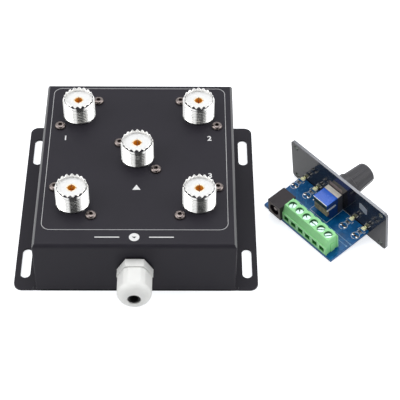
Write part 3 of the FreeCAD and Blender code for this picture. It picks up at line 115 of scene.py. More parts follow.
def piece(name, parts, material, body=FIXED, matrix=WORLD, stands_for=(), smooth=None,
          bevel=0.0, slot=None, weld=False):
    """Makes an object from parts, riding on a body.
    smooth is the angle in degrees under which edges shade smoothly, bevel a width in mm; weld joins
    points that lie on each other. slot is not used."""
    mesh = bpy.data.meshes.new(name)
    points, faces = [], []
    for vertices, polygons in parts:
        start = len(points)
        points += [matrix @ Vector(v) for v in vertices]
        faces += [[start + index for index in polygon] for polygon in polygons]
    mesh.from_pydata(points, [], faces)
    clean = bmesh.new()
    clean.from_mesh(mesh)
    if weld:
        bmesh.ops.remove_doubles(clean, verts=clean.verts, dist=WELD * MM)
    bmesh.ops.recalc_face_normals(clean, faces=clean.faces)
    clean.to_mesh(mesh)
    clean.free()
    mesh.materials.append(material)
    if smooth is not None:
        mesh.shade_smooth()
        mesh.set_sharp_from_angle(angle=math.radians(smooth))
    thing = bpy.data.objects.new(name, mesh)
    scene.collection.objects.link(thing)
    if bevel:
        rounding = thing.modifiers.new("rounding", "BEVEL")
        rounding.width = bevel * MM
        rounding.segments = 2
        rounding.angle_limit = math.radians(40)
        rounding.harden_normals = True
    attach(thing, body)
    if stands_for:
        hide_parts(*stands_for)


def on_board(name, parts, material, **more):
    """A piece whose parts are in the controller's frame."""
    piece(name, parts, material, matrix=CONTROLLER, **more)


def moved(part, offset):
    """A part shifted by an offset."""
    vertices, faces = part
    shift = Vector(offset)
    return [Vector(v) + shift for v in vertices], faces


def lathe(profile, steps=48):
    """An outline of (radius, height) turned about Z. A point at radius 0 closes its end; an
    outline without one is closed on itself."""
    vertices, rings = [], []
    for radius, height in profile:
        if radius < 1e-6:
            rings.append([len(vertices)])
            vertices.append((0, 0, height))
            continue
        rings.append(list(range(len(vertices), len(vertices) + steps)))
        for k in range(steps):
            angle = 2 * math.pi * k / steps
            vertices.append((radius * math.cos(angle), radius * math.sin(angle), height))
    pairs = list(zip(rings, rings[1:]))
    if len(rings[0]) > 1 and len(rings[-1]) > 1:
        pairs.append((rings[-1], rings[0]))
    faces = []
    for low, high in pairs:
        for k in range(steps):
            following = (k + 1) % steps
            if len(low) == 1:
                faces.append((low[0], high[following], high[k]))
            elif len(high) == 1:
                faces.append((low[k], low[following], high[0]))
            else:
                faces.append((low[k], low[following], high[following], high[k]))
    return vertices, faces


def turned_columns(column, steps):
    """A skin through one closed column of (radius, height) points for each angle of a full turn.
    The last column lies on the first, shifted along it where a thread runs, so that the piece is
    to be welded."""
    vertices, columns = [], []
    for k in range(steps + 1):
        angle = 360 * k / steps
        turn = math.radians(angle)
        points = column(angle)
        columns.append(range(len(vertices), len(vertices) + len(points)))
        vertices += [(r * math.cos(turn), r * math.sin(turn), z) for r, z in points]
    faces = []
    for here, there in zip(columns, columns[1:]):
        for row in range(len(here)):
            faces.append((here[row - 1], here[row], there[row], there[row - 1]))
    return vertices, faces


# one pitch of a 60 degree thread: share of the pitch, share of the groove's depth
THREAD_FORM = ((0.04, 0.0), (0.055, 0.02), (0.085, 0.09), (0.415, 0.91), (0.445, 0.98),
               (0.46, 1.0), (0.54, 1.0), (0.555, 0.98), (0.585, 0.91), (0.915, 0.09),
               (0.945, 0.02), (0.96, 0.0))


def thread_points(angle, low, high, radius, pitch, depth, run_out):
    """A threaded side at one angle, from its high end to its low end. The form's corners follow
    the helix, and the groove runs out at both ends."""
    points = []
    for turn in range(math.floor(low / pitch) - 2, math.ceil(high / pitch) + 1):
        for share, cut in THREAD_FORM:
            height = min(max((turn + share + angle / 360) * pitch, low), high)
            inside = min(height - low, high - height) / run_out
            points.append((radius - depth * cut * min(1.0, inside), height))
    return points[::-1]


# the faces of a box whose corners are listed in z, within it in y, within that in x
BOX_FACES = [(0, 2, 3, 1), (4, 5, 7, 6), (0, 1, 5, 4), (2, 6, 7, 3), (0, 4, 6, 2), (1, 3, 7, 5)]


def block(low, high):
    """A box between two corners; the order of their x is free."""
    sides = sorted((low[0], high[0]))
    return [(x, y, z) for z in (low[2], high[2]) for y in (low[1], high[1])
            for x in sides], BOX_FACES


def flat_mesh(curve, shift):
    """The part made by a filled flat curve, moved by a shift; the curve is used up."""
    holder = bpy.data.objects.new("outline", curve)
    scene.collection.objects.link(holder)
    bpy.context.view_layer.update()
    shaped = holder.evaluated_get(bpy.context.evaluated_depsgraph_get())
    mesh = bpy.data.meshes.new_from_object(shaped)
    vertices = [v.co + Vector(shift) for v in mesh.vertices]
    faces = [tuple(polygon.vertices) for polygon in mesh.polygons]
    bpy.data.objects.remove(holder)
    bpy.data.curves.remove(curve)
    bpy.data.meshes.remove(mesh)
    return vertices, faces


def sheet(outlines, low, high):
    """A flat sheet between two levels, from an outer outline and outlines of holes."""
    curve = bpy.data.curves.new("outline", "CURVE")
    curve.dimensions = "2D"
    curve.fill_mode = "BOTH"
    curve.extrude = (high - low) / 2
    for outline in outlines:
        spline = curve.splines.new("POLY")
        spline.points.add(len(outline) - 1)
        for point, (x, y) in zip(spline.points, outline):
            point.co = (x, y, 0, 1)
        spline.use_cyclic_u = True
    return flat_mesh(curve, (0, 0, (low + high) / 2))


def numeral(text, size, x, y, low, high, boldness=0.0):
    """A printed numeral, centred on x, y; boldness widens its strokes, in mm to each side."""
    curve = bpy.data.curves.new("numeral", "FONT")
    curve.body = text
    curve.size = size
    curve.align_x = "CENTER"
    curve.align_y = "CENTER"
    curve.offset = boldness
    curve.extrude = (high - low) / 2
    return flat_mesh(curve, (x, y, (low + high) / 2))


def ring_outline(radius, x=0, y=0, steps=40):
    """Points round a circle; six of them make a hexagon."""
    turns = [math.radians(360 * k / steps) for k in range(steps)]
    return [(x + radius * math.cos(turn), y + radius * math.sin(turn)) for turn in turns]


def rounded_outline(left, right_side, near, far, radius, steps=10):
    """A rectangle with round corners."""
    outline = []
    for x, y, start in ((right_side - radius, far - radius, 0), (left + radius, far - radius, 90),
                        (left + radius, near + radius, 180),
                        (right_side - radius, near + radius, 270)):
        for k in range(steps + 1):
            angle = math.radians(start + 90 * k / steps)
            outline.append((x + radius * math.cos(angle), y + radius * math.sin(angle)))
    return outline


def stroke(start, end, width, low, high):
    """A straight printed line with square ends."""
    start, end = Vector(start), Vector(end)
    side = (end - start).normalized().orthogonal() * width / 2
    return sheet([[start + side, start - side, end - side, end + side]], low, high)


# ---- materials --------------------------------------------------------------------------------

def calculate(tree, operation, first, second=0.0):
    """The socket of a new math node; a plain number is set on its input."""
    node = tree.nodes.new("ShaderNodeMath")
    node.operation = operation
    for socket, value in zip(node.inputs, (first, second)):
        if isinstance(value, (int, float)):
            socket.default_value = value
        else:
            tree.links.new(value, socket)
    return node.outputs["Value"]


NOISE_LOW, NOISE_HIGH = 0.3, 0.7      # between these the slow noise goes from one end to the other
SCATTER_DEPTH = 1.5                   # mm


def shade(name, color, roughness, metallic=0.0, grain=0.3, bump=0.02, patch=6.0, uneven=0.12,
          rough_range=0.06, specular=0.5, scatter=0.0, glow=0.0, stretch=(1, 1, 1)):
    """A procedural surface. grain and patch are the sizes in mm of the fine bump and of the slow
    change in colour and roughness; bump is the bump's height in mm; uneven the share of colour
    that changes."""
    material = bpy.data.materials.new(name)
    material.use_nodes = True
    tree = material.node_tree
    surface = tree.nodes["Principled BSDF"]
    surface.inputs["Metallic"].default_value = metallic
    surface.inputs["Specular IOR Level"].default_value = specular
    surface.inputs["Emission Color"].default_value = (*color, 1.0)
    surface.inputs["Emission Strength"].default_value = glow
    if scatter:
        surface.inputs["Subsurface Weight"].default_value = scatter
        surface.inputs["Subsurface Radius"].default_value = (1.0, 1.0, 1.0)
        surface.inputs["Subsurface Scale"].default_value = SCATTER_DEPTH * MM
    coordinates = tree.nodes.new("ShaderNodeTexCoord")
    stretched = tree.nodes.new("ShaderNodeMapping")
    stretched.inputs["Scale"].default_value = stretch
    tree.links.new(coordinates.outputs["Object"], stretched.inputs["Vector"])

    def noise(size, detail):
        texture = tree.nodes.new("ShaderNodeTexNoise")
        texture.inputs["Scale"].default_value = 1 / (size * MM)
        texture.inputs["Detail"].default_value = detail
        tree.links.new(stretched.outputs["Vector"], texture.inputs["Vector"])
        return texture.outputs["Fac"]

    fine, slow = noise(grain, 3.0), noise(patch, 4.0)
    height = tree.nodes.new("ShaderNodeBump")
    height.inputs["Strength"].default_value = 1.0
    height.inputs["Distance"].default_value = bump * MM
    tree.links.new(fine, height.inputs["Height"])
    tree.links.new(height.outputs["Normal"], surface.inputs["Normal"])
    tint = tree.nodes.new("ShaderNodeValToRGB")
    stops = zip(tint.color_ramp.elements, (1 - uneven, 1 + uneven), (NOISE_LOW, NOISE_HIGH))
    for stop, share, place in stops:
        stop.position = place
        stop.color = [min(1.0, channel * share) for channel in color] + [1.0]
    tree.links.new(slow, tint.inputs["Fac"])
    tree.links.new(tint.outputs["Color"], surface.inputs["Base Color"])
    polish = tree.nodes.new("ShaderNodeMapRange")
    polish.inputs["From Min"].default_value = NOISE_LOW
    polish.inputs["From Max"].default_value = NOISE_HIGH
    polish.inputs["To Min"].default_value = max(0.02, roughness - rough_range)
    polish.inputs["To Max"].default_value = roughness + rough_range
    tree.links.new(slow, polish.inputs["Value"])
    tree.links.new(polish.outputs["Result"], surface.inputs["Roughness"])
    return material


def repaint(material, mask, color, metallic=None):
    """Gives the surface another colour where the mask, made in its node tree, is 1. metallic is
    that part's own; the rest of the surface then has none."""
    tree = material.node_tree
    surface = tree.nodes["Principled BSDF"]
    share = mask(tree)
    mix = tree.nodes.new("ShaderNodeMixRGB")
    mix.inputs["Color2"].default_value = (*color, 1.0)
    tree.links.new(share, mix.inputs["Fac"])
    tree.links.new(surface.inputs["Base Color"].links[0].from_socket, mix.inputs["Color1"])
    tree.links.new(mix.outputs["Color"], surface.inputs["Base Color"])
    if metallic is not None:
        tree.links.new(calculate(tree, "MULTIPLY", share, metallic), surface.inputs["Metallic"])


def along(tree, source, axis):
    """How far a vector reaches along an axis."""
    node = tree.nodes.new("ShaderNodeVectorMath")
    node.operation = "DOT_PRODUCT"
    tree.links.new(source, node.inputs[0])
    node.inputs[1].default_value = axis
    return node.outputs["Value"]


def past(axis, distance):
    """A mask of what lies further along an axis than a distance in mm."""
    def mask(tree):
        place = tree.nodes.new("ShaderNodeTexCoord").outputs["Object"]
        return calculate(tree, "GREATER_THAN", along(tree, place, axis), distance * MM)
    return mask


def within(low, high):
    """A mask of a box in the controller's frame."""
    def mask(tree):
        share = 1.0
        for axis, near, far in zip((right, out, up), low, high):
            start = origin.dot(axis)
            for inside in (past(axis, start + near)(tree), past(-axis, -start - far)(tree)):
                share = calculate(tree, "MULTIPLY", share, inside)
        return share
    return mask


FACING, FOLD_TILT = 0.7, 0.33         # cosines between a face's normal and an axis


def turned_from(axis):
    """A mask of the faces that don't look along an axis: a plate's edges and its holes' walls."""
    def mask(tree):
        normal = tree.nodes.new("ShaderNodeNewGeometry").outputs["True Normal"]
        facing = calculate(tree, "ABSOLUTE", along(tree, normal, axis))
        return calculate(tree, "LESS_THAN", facing, FACING)
    return mask


def side_folds(tree):
    """A mask of the middle of the folds along the cover's two sides, where a highlight is painted."""
    normal = tree.nodes.new("ShaderNodeNewGeometry").outputs["True Normal"]
    sideways = calculate(tree, "ABSOLUTE", along(tree, normal, (1, 0, 0)))
    upwards = along(tree, normal, (0, 0, 1))
    return calculate(tree, "MULTIPLY", calculate(tree, "GREATER_THAN", sideways, FOLD_TILT),
                     calculate(tree, "GREATER_THAN", upwards, FOLD_TILT))


POWDER = shade("powder_coat", (0.0235, 0.0215, 0.0285), 0.44, grain=0.35, bump=0.012, patch=14,
               uneven=0.06, specular=0.15)
# near-black: painted shade along the front wall's lower edge
HEM_SHADE = shade("painted_hem_shade", (0.004, 0.004, 0.005), 0.7, grain=0.35, bump=0.012, specular=0.15)
NICKEL = shade("nickel", (0.93, 0.92, 0.90), 0.11, 1.0, grain=0.5, bump=0.002, patch=3,
               uneven=0.04)
STEEL = shade("steel", (0.62, 0.61, 0.59), 0.3, 1.0, grain=0.25, bump=0.004, patch=2,
              stretch=(1, 1, 6))
BROWNED = shade("browned_steel", (0.225, 0.19, 0.18), 0.27, 1.0, bump=0.006, patch=1.2,
                uneven=0.3)
IRON = shade("iron", (0.45, 0.44, 0.43), 0.42, 1.0, grain=0.2, bump=0.006, patch=2)
ZINC = shade("zinc_plate", (0.34, 0.46, 0.41), 0.24, 1.0, grain=0.25, bump=0.006, patch=1.5,
             uneven=0.2)
FRAME_METAL = shade("frame_plate", (0.78, 0.74, 0.67), 0.4, 0.2, grain=0.25, bump=0.005,
                    patch=2.5)
# dull brownish: a painted reflection of the switch in the panel's rear face
SWITCH_REFLECTION = shade("painted_switch_reflection", (0.20, 0.155, 0.145), 0.4, bump=0.004, patch=1.2, uneven=0.2)
# a pale lilac patch on the panel's rear face
LILAC = shade("lilac_patch", (0.27, 0.285, 0.34), 0.4, bump=0.004, patch=1.0, uneven=0.2)
BRIGHT = shade("bright_steel", (0.95, 0.95, 0.94), 0.28, 0.1, grain=0.25, bump=0.003, patch=2,
               uneven=0.06)
GOLD = shade("gold_flash", (1.0, 0.50, 0.06), 0.5, 0.3, bump=0.003, patch=1.5)
INSULATOR = shade("white_insulator", (0.90, 0.90, 0.895), 0.3, bump=0.004, patch=4, uneven=0.01,
                  scatter=0.2)
NYLON = shade("white_nylon", (0.90, 0.90, 0.875), 0.38, grain=0.25, bump=0.008, patch=5,
              uneven=0.025, scatter=0.15)
RUBBER = shade("rubber", (0.018, 0.018, 0.018), 0.5, grain=0.2, bump=0.015, patch=2)
BOARD = shade("board_blue", (0.001, 0.112, 0.330), 0.26, grain=0.9, bump=0.006, patch=3.5,
              uneven=0.25, specular=0.25)
TRACE = shade("trace_blue", (0.002, 0.165, 0.42), 0.26, grain=0.9, bump=0.006, patch=2.0,
              uneven=0.2, specular=0.25)
PALE_TRACE = shade("bare_trace_blue", (0.12, 0.34, 0.60), 0.3, grain=0.5, bump=0.004, patch=1.5,
                   uneven=0.25)
PANEL = shade("panel_mask", (0.014, 0.013, 0.017), 0.13, grain=0.8, bump=0.0015, patch=9,
              uneven=0.15)
GREEN = shade("terminal_green", (0.33, 0.82, 0.34), 0.35, bump=0.006, patch=4, uneven=0.05,
              scatter=0.12)
BLUE = shade("switch_blue", (0.010, 0.125, 0.70), 0.26, grain=0.4, bump=0.004, patch=4,
             uneven=0.08)
# a darker copy of the switch's blue: painted shade on its body and on the sides of its cover
SHADED_BLUE = shade("switch_blue_painted_shade", (0.007, 0.045, 0.23), 0.35, grain=0.4, bump=0.004, patch=3,
             uneven=0.15)
WAFER = shade("phenolic_wafer", (0.44, 0.31, 0.21), 0.45, grain=0.22, patch=1.6, uneven=0.45)
BACK_PLATE = shade("dull_plate", (0.09, 0.10, 0.095), 0.32, 0.7, grain=0.25, bump=0.01,
                   patch=1.4, uneven=0.4)
KNOB_BLACK = shade("knob_black", (0.036, 0.034, 0.040), 0.42, grain=0.25, bump=0.01, patch=5)
JACK = shade("jack_black", (0.017, 0.011, 0.015), 0.4, bump=0.006, patch=4, specular=0.3)
CASE = shade("relay_case_black", (0.02, 0.02, 0.022), 0.4, bump=0.008, patch=5)
COPPER = shade("coil_wire", (0.60, 0.24, 0.09), 0.35, 0.8, grain=0.18, bump=0.03, patch=1.5,
               stretch=(1, 1, 5))
SOLDER = shade("solder", (0.80, 0.80, 0.79), 0.24, 1.0, grain=0.4, bump=0.01, patch=1.0,
               uneven=0.1)
PRINT = shade("white_print", (0.80, 0.80, 0.80), 0.5, grain=0.15, bump=0.003, patch=2,
              uneven=0.06)
FINE_PRINT = shade("fine_print", (0.52, 0.52, 0.53), 0.5, grain=0.15, bump=0.003, patch=2,
                   uneven=0.1)
SILK = shade("board_print", (0.62, 0.70, 0.78), 0.5, grain=0.15, bump=0.003, patch=2,
             uneven=0.08)
DARK = shade("dark_print", (0.015, 0.015, 0.017), 0.5, grain=0.15, bump=0.003, patch=2)
# the lenses have a painted glow: the lights are unlit, and the glow only brightens them
LENS = shade("led_lens", (1.0, 1.0, 0.58), 0.25, bump=0.003, patch=1, uneven=0.08, scatter=0.3,
             glow=0.22)
CERAMIC = shade("ceramic", (0.85, 0.86, 0.76), 0.35, grain=0.2, bump=0.004, patch=1)
CHIP = shade("chip_grey", (0.07, 0.08, 0.085), 0.3, grain=0.2, bump=0.004, patch=1)

# parts of a finish that look otherwise: a painted highlight on a contact's end, the panel's edges,
# painted shade on the switch frame's sides and on its part at the panel, a painted reflection on
# the jack's front, painted shade in the terminal's screw wells and wire entries
GOLD_END, FRAME_FRONT, JACK_FRONT, JACK_BROW = 0.3, 0.5, 0.25, 0.3
# boxes round the terminal's screw wells and wire entries, where painted shade darkens the green
SCREW_WELL_SHADE = (-12.3, -23.1, 5.3), (17.9, -19.1, 14.8)
WIRE_ENTRY_SHADE = (-12.3, -25.6, 5.3), (17.9, -19.1, 10.6)
# the jack's front face, except a brow at its top, gets a painted reflection of the floor
jack_low, jack_high = local_box("dc_jack_body")
jack_face_reflection = within(jack_low - Vector((1, 1, 1)),
                   (jack_high.x + 1, jack_low.y + JACK_FRONT, jack_high.z - JACK_BROW))
# painted highlight: each contact is pale within GOLD_END of its end
repaint(GOLD, past((0, 0, 1), mount_point("socket_1_contact").z - GOLD_END), (0.98, 0.84, 0.60))
repaint(PANEL, turned_from(out), (0.20, 0.205, 0.225), 0.3)
# painted highlight: the middle of the cover's side folds is lighter, standing in for the lamps' gleam
repaint(POWDER, side_folds, (0.17, 0.17, 0.175))
# painted shade on the frame: faces that don't look up, and its part within FRAME_FRONT of the panel
repaint(FRAME_METAL, turned_from(up), (0.06, 0.06, 0.075), 0.4)
repaint(FRAME_METAL, past(out, origin.dot(out) - FRAME_FRONT), (0.05, 0.05, 0.06), 0.4)
# painted reflection: the jack's front is lighter brown
repaint(JACK, jack_face_reflection, (0.10, 0.072, 0.066))
# painted shade: darker green in the terminal's screw wells and wire entries
repaint(GREEN, within(*SCREW_WELL_SHADE), (0.07, 0.30, 0.11))
repaint(GREEN, within(*WIRE_ENTRY_SHADE), (0.035, 0.30, 0.05))

FINISH = {
    "cover": POWDER, "bottom": POWDER, "nickel": NICKEL, "insulator": INSULATOR, "contact": GOLD,
    "screw_dark": BROWNED, "steel": STEEL, "iron": IRON, "relay_black": CASE, "coil": COPPER,
    "board_blue": BOARD, "terminal_green": GREEN, "gland_white": NYLON, "rubber_black": RUBBER,
    "panel": PANEL, "switch_blue": BLUE, "knob": KNOB_BLACK, "jack_black": JACK, "led": LENS,
    "resistor": CHIP,
}
OWN_FINISH = {"switch_frame": FRAME_METAL, "dc_jack_contacts": BROWNED}
OWN_FINISH.update({"terminal_screw_%d" % k: ZINC for k in range(1, 7)})
for subpart in record["subparts"]:
    finish = OWN_FINISH.get(subpart["node"], FINISH[subpart["material_slot"]])
    node_materials = nodes[subpart["node"]].data.materials
    node_materials.clear()
    node_materials.append(finish)


# ---- sockets: helical thread, notched ring above it, flange -----------------------------------

THREAD_RADIUS, THREAD_PITCH, THREAD_DEPTH, THREAD_RUN_OUT = 7.9375, 25.4 / 24, 0.6, 0.5
BARREL_HEIGHT, FLANGE_DEPTH = 12.8, 3.0
RIM_RADIUS, RIM_WALL, RIM_EDGE = 7.3, 1.7, 0.1
RELIEF_TOP, RELIEF_RADIUS = 1.5, 7.4375
RIM_BORE, REAR_BORE, SHOULDER = 6.6475, 4.7975, 2.0
NOTCHES, NOTCH_DEPTH, NOTCH_HALF_ANGLE = 18, 1.3, 7.5
BARREL_STEPS = 144         # so that a notch's corners fall on columns
FLANGE_HALF, FLANGE_CORNER, FLANGE_LAP = 12.6975, 0.8, 0.2
SCREW_OFFSET, SCREW_HOLE = 9.1275, 1.65


def rim_drop(angle):
    """How far the rim lies below its top, at an angle in degrees."""
    period = 360 / NOTCHES
    from_notch = abs((angle - 90) % period - period / 2)
    return NOTCH_DEPTH * max(0.0, 1 - from_notch / NOTCH_HALF_ANGLE)


def barrel_column(angle):
    """One closed skin: bore, notched rim, thread, relief and the hidden lower end."""
    top = BARREL_HEIGHT - rim_drop(angle)
    wall_foot = BARREL_HEIGHT - RIM_WALL
    thread_top = wall_foot - THREAD_RADIUS + RIM_RADIUS
    column = [(REAR_BORE, -FLANGE_DEPTH), (REAR_BORE, SHOULDER), (RIM_BORE, SHOULDER),
              (RIM_BORE, top - RIM_EDGE), (RIM_BORE + RIM_EDGE, top), (RIM_RADIUS - RIM_EDGE, top),
              (RIM_RADIUS, top - RIM_EDGE), (RIM_RADIUS, wall_foot)]
    column += thread_points(angle, RELIEF_TOP, thread_top, THREAD_RADIUS, THREAD_PITCH,
                            THREAD_DEPTH, THREAD_RUN_OUT)
    return column + [(RELIEF_RADIUS, RELIEF_TOP), (RELIEF_RADIUS, -FLANGE_DEPTH)]


SOCKETS = ("socket_1", "socket_2", "socket_3", "socket_4", "socket_main")
barrel = turned_columns(barrel_column, BARREL_STEPS)
flange = sheet([rounded_outline(-FLANGE_HALF, FLANGE_HALF, -FLANGE_HALF, FLANGE_HALF,
                                FLANGE_CORNER),
                ring_outline(RELIEF_RADIUS - FLANGE_LAP, steps=60)]
               + [ring_outline(SCREW_HOLE, x, y, 24) for x in (-SCREW_OFFSET, SCREW_OFFSET)
                  for y in (-SCREW_OFFSET, SCREW_OFFSET)], -FLANGE_DEPTH, 0)
for name in SOCKETS:
    centre = mount_point(name + "_thread")
    place = (centre.x, centre.y, COVER_TOP - SHEET)
    piece(name + "_barrel", [moved(barrel, place)], NICKEL, stands_for=[name + "_shell"],
          smooth=40, slot="nickel", weld=True)
    piece(name + "_flange", [moved(flange, place)], NICKEL, slot="nickel")

# a sleeve behind the contacts' slots
SLEEVE_INNER, SLEEVE_OUTER, SLEEVE_LENGTH, SLEEVE_SETBACK = 2.47, 2.6, 6.0, 0.35
sleeve = lathe([(SLEEVE_INNER, -SLEEVE_LENGTH), (SLEEVE_OUTER, -SLEEVE_LENGTH),
                (SLEEVE_OUTER, -SLEEVE_SETBACK), (SLEEVE_INNER, -SLEEVE_SETBACK)])
piece("contact_sleeves", [moved(sleeve, mount_point(name + "_contact")) for name in SOCKETS],
      GOLD, smooth=40, slot="contact")


# ---- marks printed on the cover ---------------------------------------------------------------

BORDER_LEFT, BORDER_RIGHT, BORDER_NEAR, BORDER_FAR = -43.9, 43.6, -45.4, 52.4
BORDER_RADIUS, LINE = 4.3, 0.26
NUMERALS = (("1", -36.0, 15.7), ("2", 35.3, 15.6), ("3", 35.4, -10.2), ("4", -29.9, -13.3))
NUMERAL_SIZE, NUMERAL_BOLDNESS = 4.4, 0.1
COMMON_MARK = ((-2.0, -19.6), (2.0, -19.6), (0.0, -16.2))       # a triangle at the common socket
DISC_X, DISC_Y, DISC_RADIUS = -0.2, -49.9, 2.45                 # at the cable's way out
RULE_STARTS, RULE_LENGTH, RULE_WIDTH = (-18.6, 6.7), 11.5, 0.55
ARROW_HALF, ARROW_BACK, ARROW_TIP = 1.1, 0.3, 0.75

print_low, print_high = COVER_TOP, COVER_TOP + ON_PRINT
border = [rounded_outline(BORDER_LEFT + inset, BORDER_RIGHT - inset, BORDER_NEAR + inset,
                          BORDER_FAR - inset, BORDER_RADIUS - inset) for inset in (0.0, LINE)]
piece("cover_border", [sheet(border, print_low, print_high)], FINE_PRINT)
piece("cover_numerals", [numeral(text, NUMERAL_SIZE, x, y, print_low, print_high,
                                 NUMERAL_BOLDNESS) for text, x, y in NUMERALS], PRINT)
rules = [stroke((x, DISC_Y), (x + RULE_LENGTH, DISC_Y), RULE_WIDTH, print_low, print_high)
         for x in RULE_STARTS]
piece("cover_marks", [sheet([COMMON_MARK], print_low, print_high)] + rules, PRINT)
piece("cable_disc", [sheet([ring_outline(DISC_RADIUS, DISC_X, DISC_Y)], print_low, print_high)],
      PRINT)
arrow = [(DISC_X - ARROW_HALF, DISC_Y + ARROW_BACK), (DISC_X, DISC_Y - ARROW_TIP),
         (DISC_X + ARROW_HALF, DISC_Y + ARROW_BACK)]
piece("cable_disc_arrow", [sheet([arrow], print_high, print_high + ON_PRINT)], DARK)


# ---- the cover's notched corners, and painted shade along the lower edge of its front wall ----

FILL_X, FILL_Y, FILL_HALF = 48.3, 54.6, 0.8
HEM_HEIGHT, HEM_SETBACK, HEM_THICKNESS = 0.85, 2.2, 0.05
fills = [block((x - FILL_HALF, y - FILL_HALF, 0.0), (x + FILL_HALF, y + FILL_HALF, SHEET))
         for x in (-FILL_X, FILL_X) for y in (-FILL_Y, FILL_Y)]
piece("corner_fills", fills, POWDER, slot="cover", bevel=0.15)
# a thin near-black strip on the front wall's lower edge: painted shade, not a part
hem_half = WALL_HALF - HEM_SETBACK
piece("front_hem_shade", [block((-hem_half, gland_root.y - HEM_THICKNESS, 0.0),
                          (hem_half, gland_root.y, HEM_HEIGHT))], HEM_SHADE, slot="cover")


# ---- cable gland: threaded neck, hexagonal collar, lip of the seal ----------------------------

NECK_RADIUS, NECK_PITCH, NECK_DEPTH, NECK_RUN_OUT, NECK_STEPS = 6.1, 1.5, 0.7, 0.8, 96
COLLAR_LOW, COLLAR_FLATS, COLLAR_LAP, NUT_LOW, NUT_GAP = 0.8, 15.0, 0.9, 5.6, 0.4
COLLAR_HIGH = NUT_LOW - NUT_GAP            # the gap shows as a dark line below the nut
NECK_END, GLAND_TAIL, CABLE_WAY, SEAL_ROOM, SEAL_SEAT = 13.6, -8.0, 3.8, 4.35, 7.9
LIP_RADIUS, LIP_HALF = 2.62, 0.2


def gland_column(angle):
    """The body's skin: the cable's way, the seal's room, and the thread on its outside."""
    column = [(CABLE_WAY, GLAND_TAIL), (CABLE_WAY, SEAL_SEAT), (SEAL_ROOM, SEAL_SEAT),
              (SEAL_ROOM, NECK_END)]
    for low, high in ((COLLAR_HIGH, NECK_END), (GLAND_TAIL, COLLAR_LOW)):
        column += thread_points(angle, low, high, NECK_RADIUS, NECK_PITCH, NECK_DEPTH,
                                NECK_RUN_OUT)
    return column


piece("gland_threads", [turned_columns(gland_column, NECK_STEPS)], NYLON, matrix=GLAND,
      stands_for=["gland_body"], smooth=40, slot="gland_white", weld=True)
collar = sheet([ring_outline(COLLAR_FLATS / math.sqrt(3), steps=6),
                ring_outline(NECK_RADIUS - COLLAR_LAP)], COLLAR_LOW, COLLAR_HIGH)
piece("gland_collar", [collar], NYLON, matrix=GLAND, slot="gland_white", bevel=0.35)
lip = [(LIP_RADIUS + x, SEAL_END + z) for x, z in ring_outline(LIP_HALF, steps=10)]
piece("seal_lip", [lathe(lip)], RUBBER, body="cable_seal", matrix=GLAND, smooth=60,
      slot="rubber_black")


# ---- controller board: print, pads, lights, resistors, solder ---------------------------------

PIN_PITCH = 2.54
LED_COLUMNS, LED_Y, RESISTOR_Y, PAD_Y = (-24.5, -15.4, 11.1, 19.6), -1.4, -3.9, -7.0
SWITCH_LEFT, SWITCH_RIGHT, SWITCH_BACK, SWITCH_FRONT = -8.0, 4.0, -11.8, -0.6
SWITCH_LINE, PANEL_LINE_START, PANEL_LINE_END, PANEL_LINE_Y = 0.22, 2.0, 9.6, -0.25
PAD_RING_OUTER, PAD_RING_INNER, PAD_SPOT = 2.2, 1.9, 0.6
# printed bars beside each resistor and light: x to both sides, near y, far y, width
SIDE_BARS = ((1.25, RESISTOR_Y - 1.0, RESISTOR_Y + 1.0, 0.3), (2.0, LED_Y - 1.9, LED_Y - 0.6, 0.35))
WAY_NUMERAL_Y, WAY_NUMERAL = -16.3, 1.5

board_low, board_high = BOARD_TOP, BOARD_TOP + ON_PRINT


def board_line(start, end, width):
    """A printed line on the board."""
    return stroke(start, end, width, board_low, board_high)


def board_patch(*outlines):
    """A printed patch on the board, from an outer outline and outlines of holes."""
    return sheet(outlines, board_low, board_high)


silk = [board_line(start, end, SWITCH_LINE) for start, end in (
    ((SWITCH_LEFT, SWITCH_BACK), (SWITCH_RIGHT, SWITCH_BACK)),
    ((SWITCH_RIGHT, SWITCH_BACK), (SWITCH_RIGHT, SWITCH_FRONT)),
    ((SWITCH_LEFT, SWITCH_BACK), (SWITCH_LEFT, SWITCH_FRONT)),
    ((PANEL_LINE_START, PANEL_LINE_Y), (PANEL_LINE_END, PANEL_LINE_Y)))]
for x in LED_COLUMNS:
    silk.append(board_patch(ring_outline(PAD_RING_OUTER, x, PAD_Y),
                            ring_outline(PAD_RING_INNER, x, PAD_Y)))
    silk += [board_line((x + side * across, near), (x + side * across, far), width)
             for across, near, far, width in SIDE_BARS for side in (-1, 1)]
silk += [numeral(str(index), WAY_NUMERAL, way.x, WAY_NUMERAL_Y, board_low, board_high)
         for index, way in enumerate(WAYS, start=1)]
on_board("board_marks", silk, SILK)

pad = lathe([(0.42, 0.0), (0.85, 0.0), (0.82, 0.1), (0.6, 0.22), (0.42, 0.24)], 24)
dimple = lathe([(0, 0.0), (0.44, 0.0), (0.40, 0.10), (0.0, 0.06)], 20)
pads, dimples = [], []
for x in LED_COLUMNS:
    for side in (-1, 1):
        spot = (x + side * PIN_PITCH / 2, PAD_Y, BOARD_TOP)
        pads.append(moved(pad, spot))
        dimples.append(moved(dimple, spot))
    dimples.append(board_patch(ring_outline(PAD_SPOT, x, PAD_Y)))
on_board("board_pads", pads, SOLDER, smooth=40)
on_board("board_pad_holes", dimples, DARK, smooth=40)

# traces from the terminal's legs to the lights' pads and the switch
TRACE_WIDTH, TRACE_START, TRACE_BEND, TRACE_SHORTEST = 0.5, -17.2, 0.4, 0.1
TRACE_ENDS = ((LED_COLUMNS[0] - PIN_PITCH / 2, PAD_Y), (LED_COLUMNS[1] - PIN_PITCH / 2, PAD_Y),
              (KNOB_X - PIN_PITCH, SWITCH_BACK), (KNOB_X + PIN_PITCH, SWITCH_BACK),
              (LED_COLUMNS[2] + PIN_PITCH / 2, PAD_Y), (LED_COLUMNS[3] + PIN_PITCH / 2, PAD_Y))


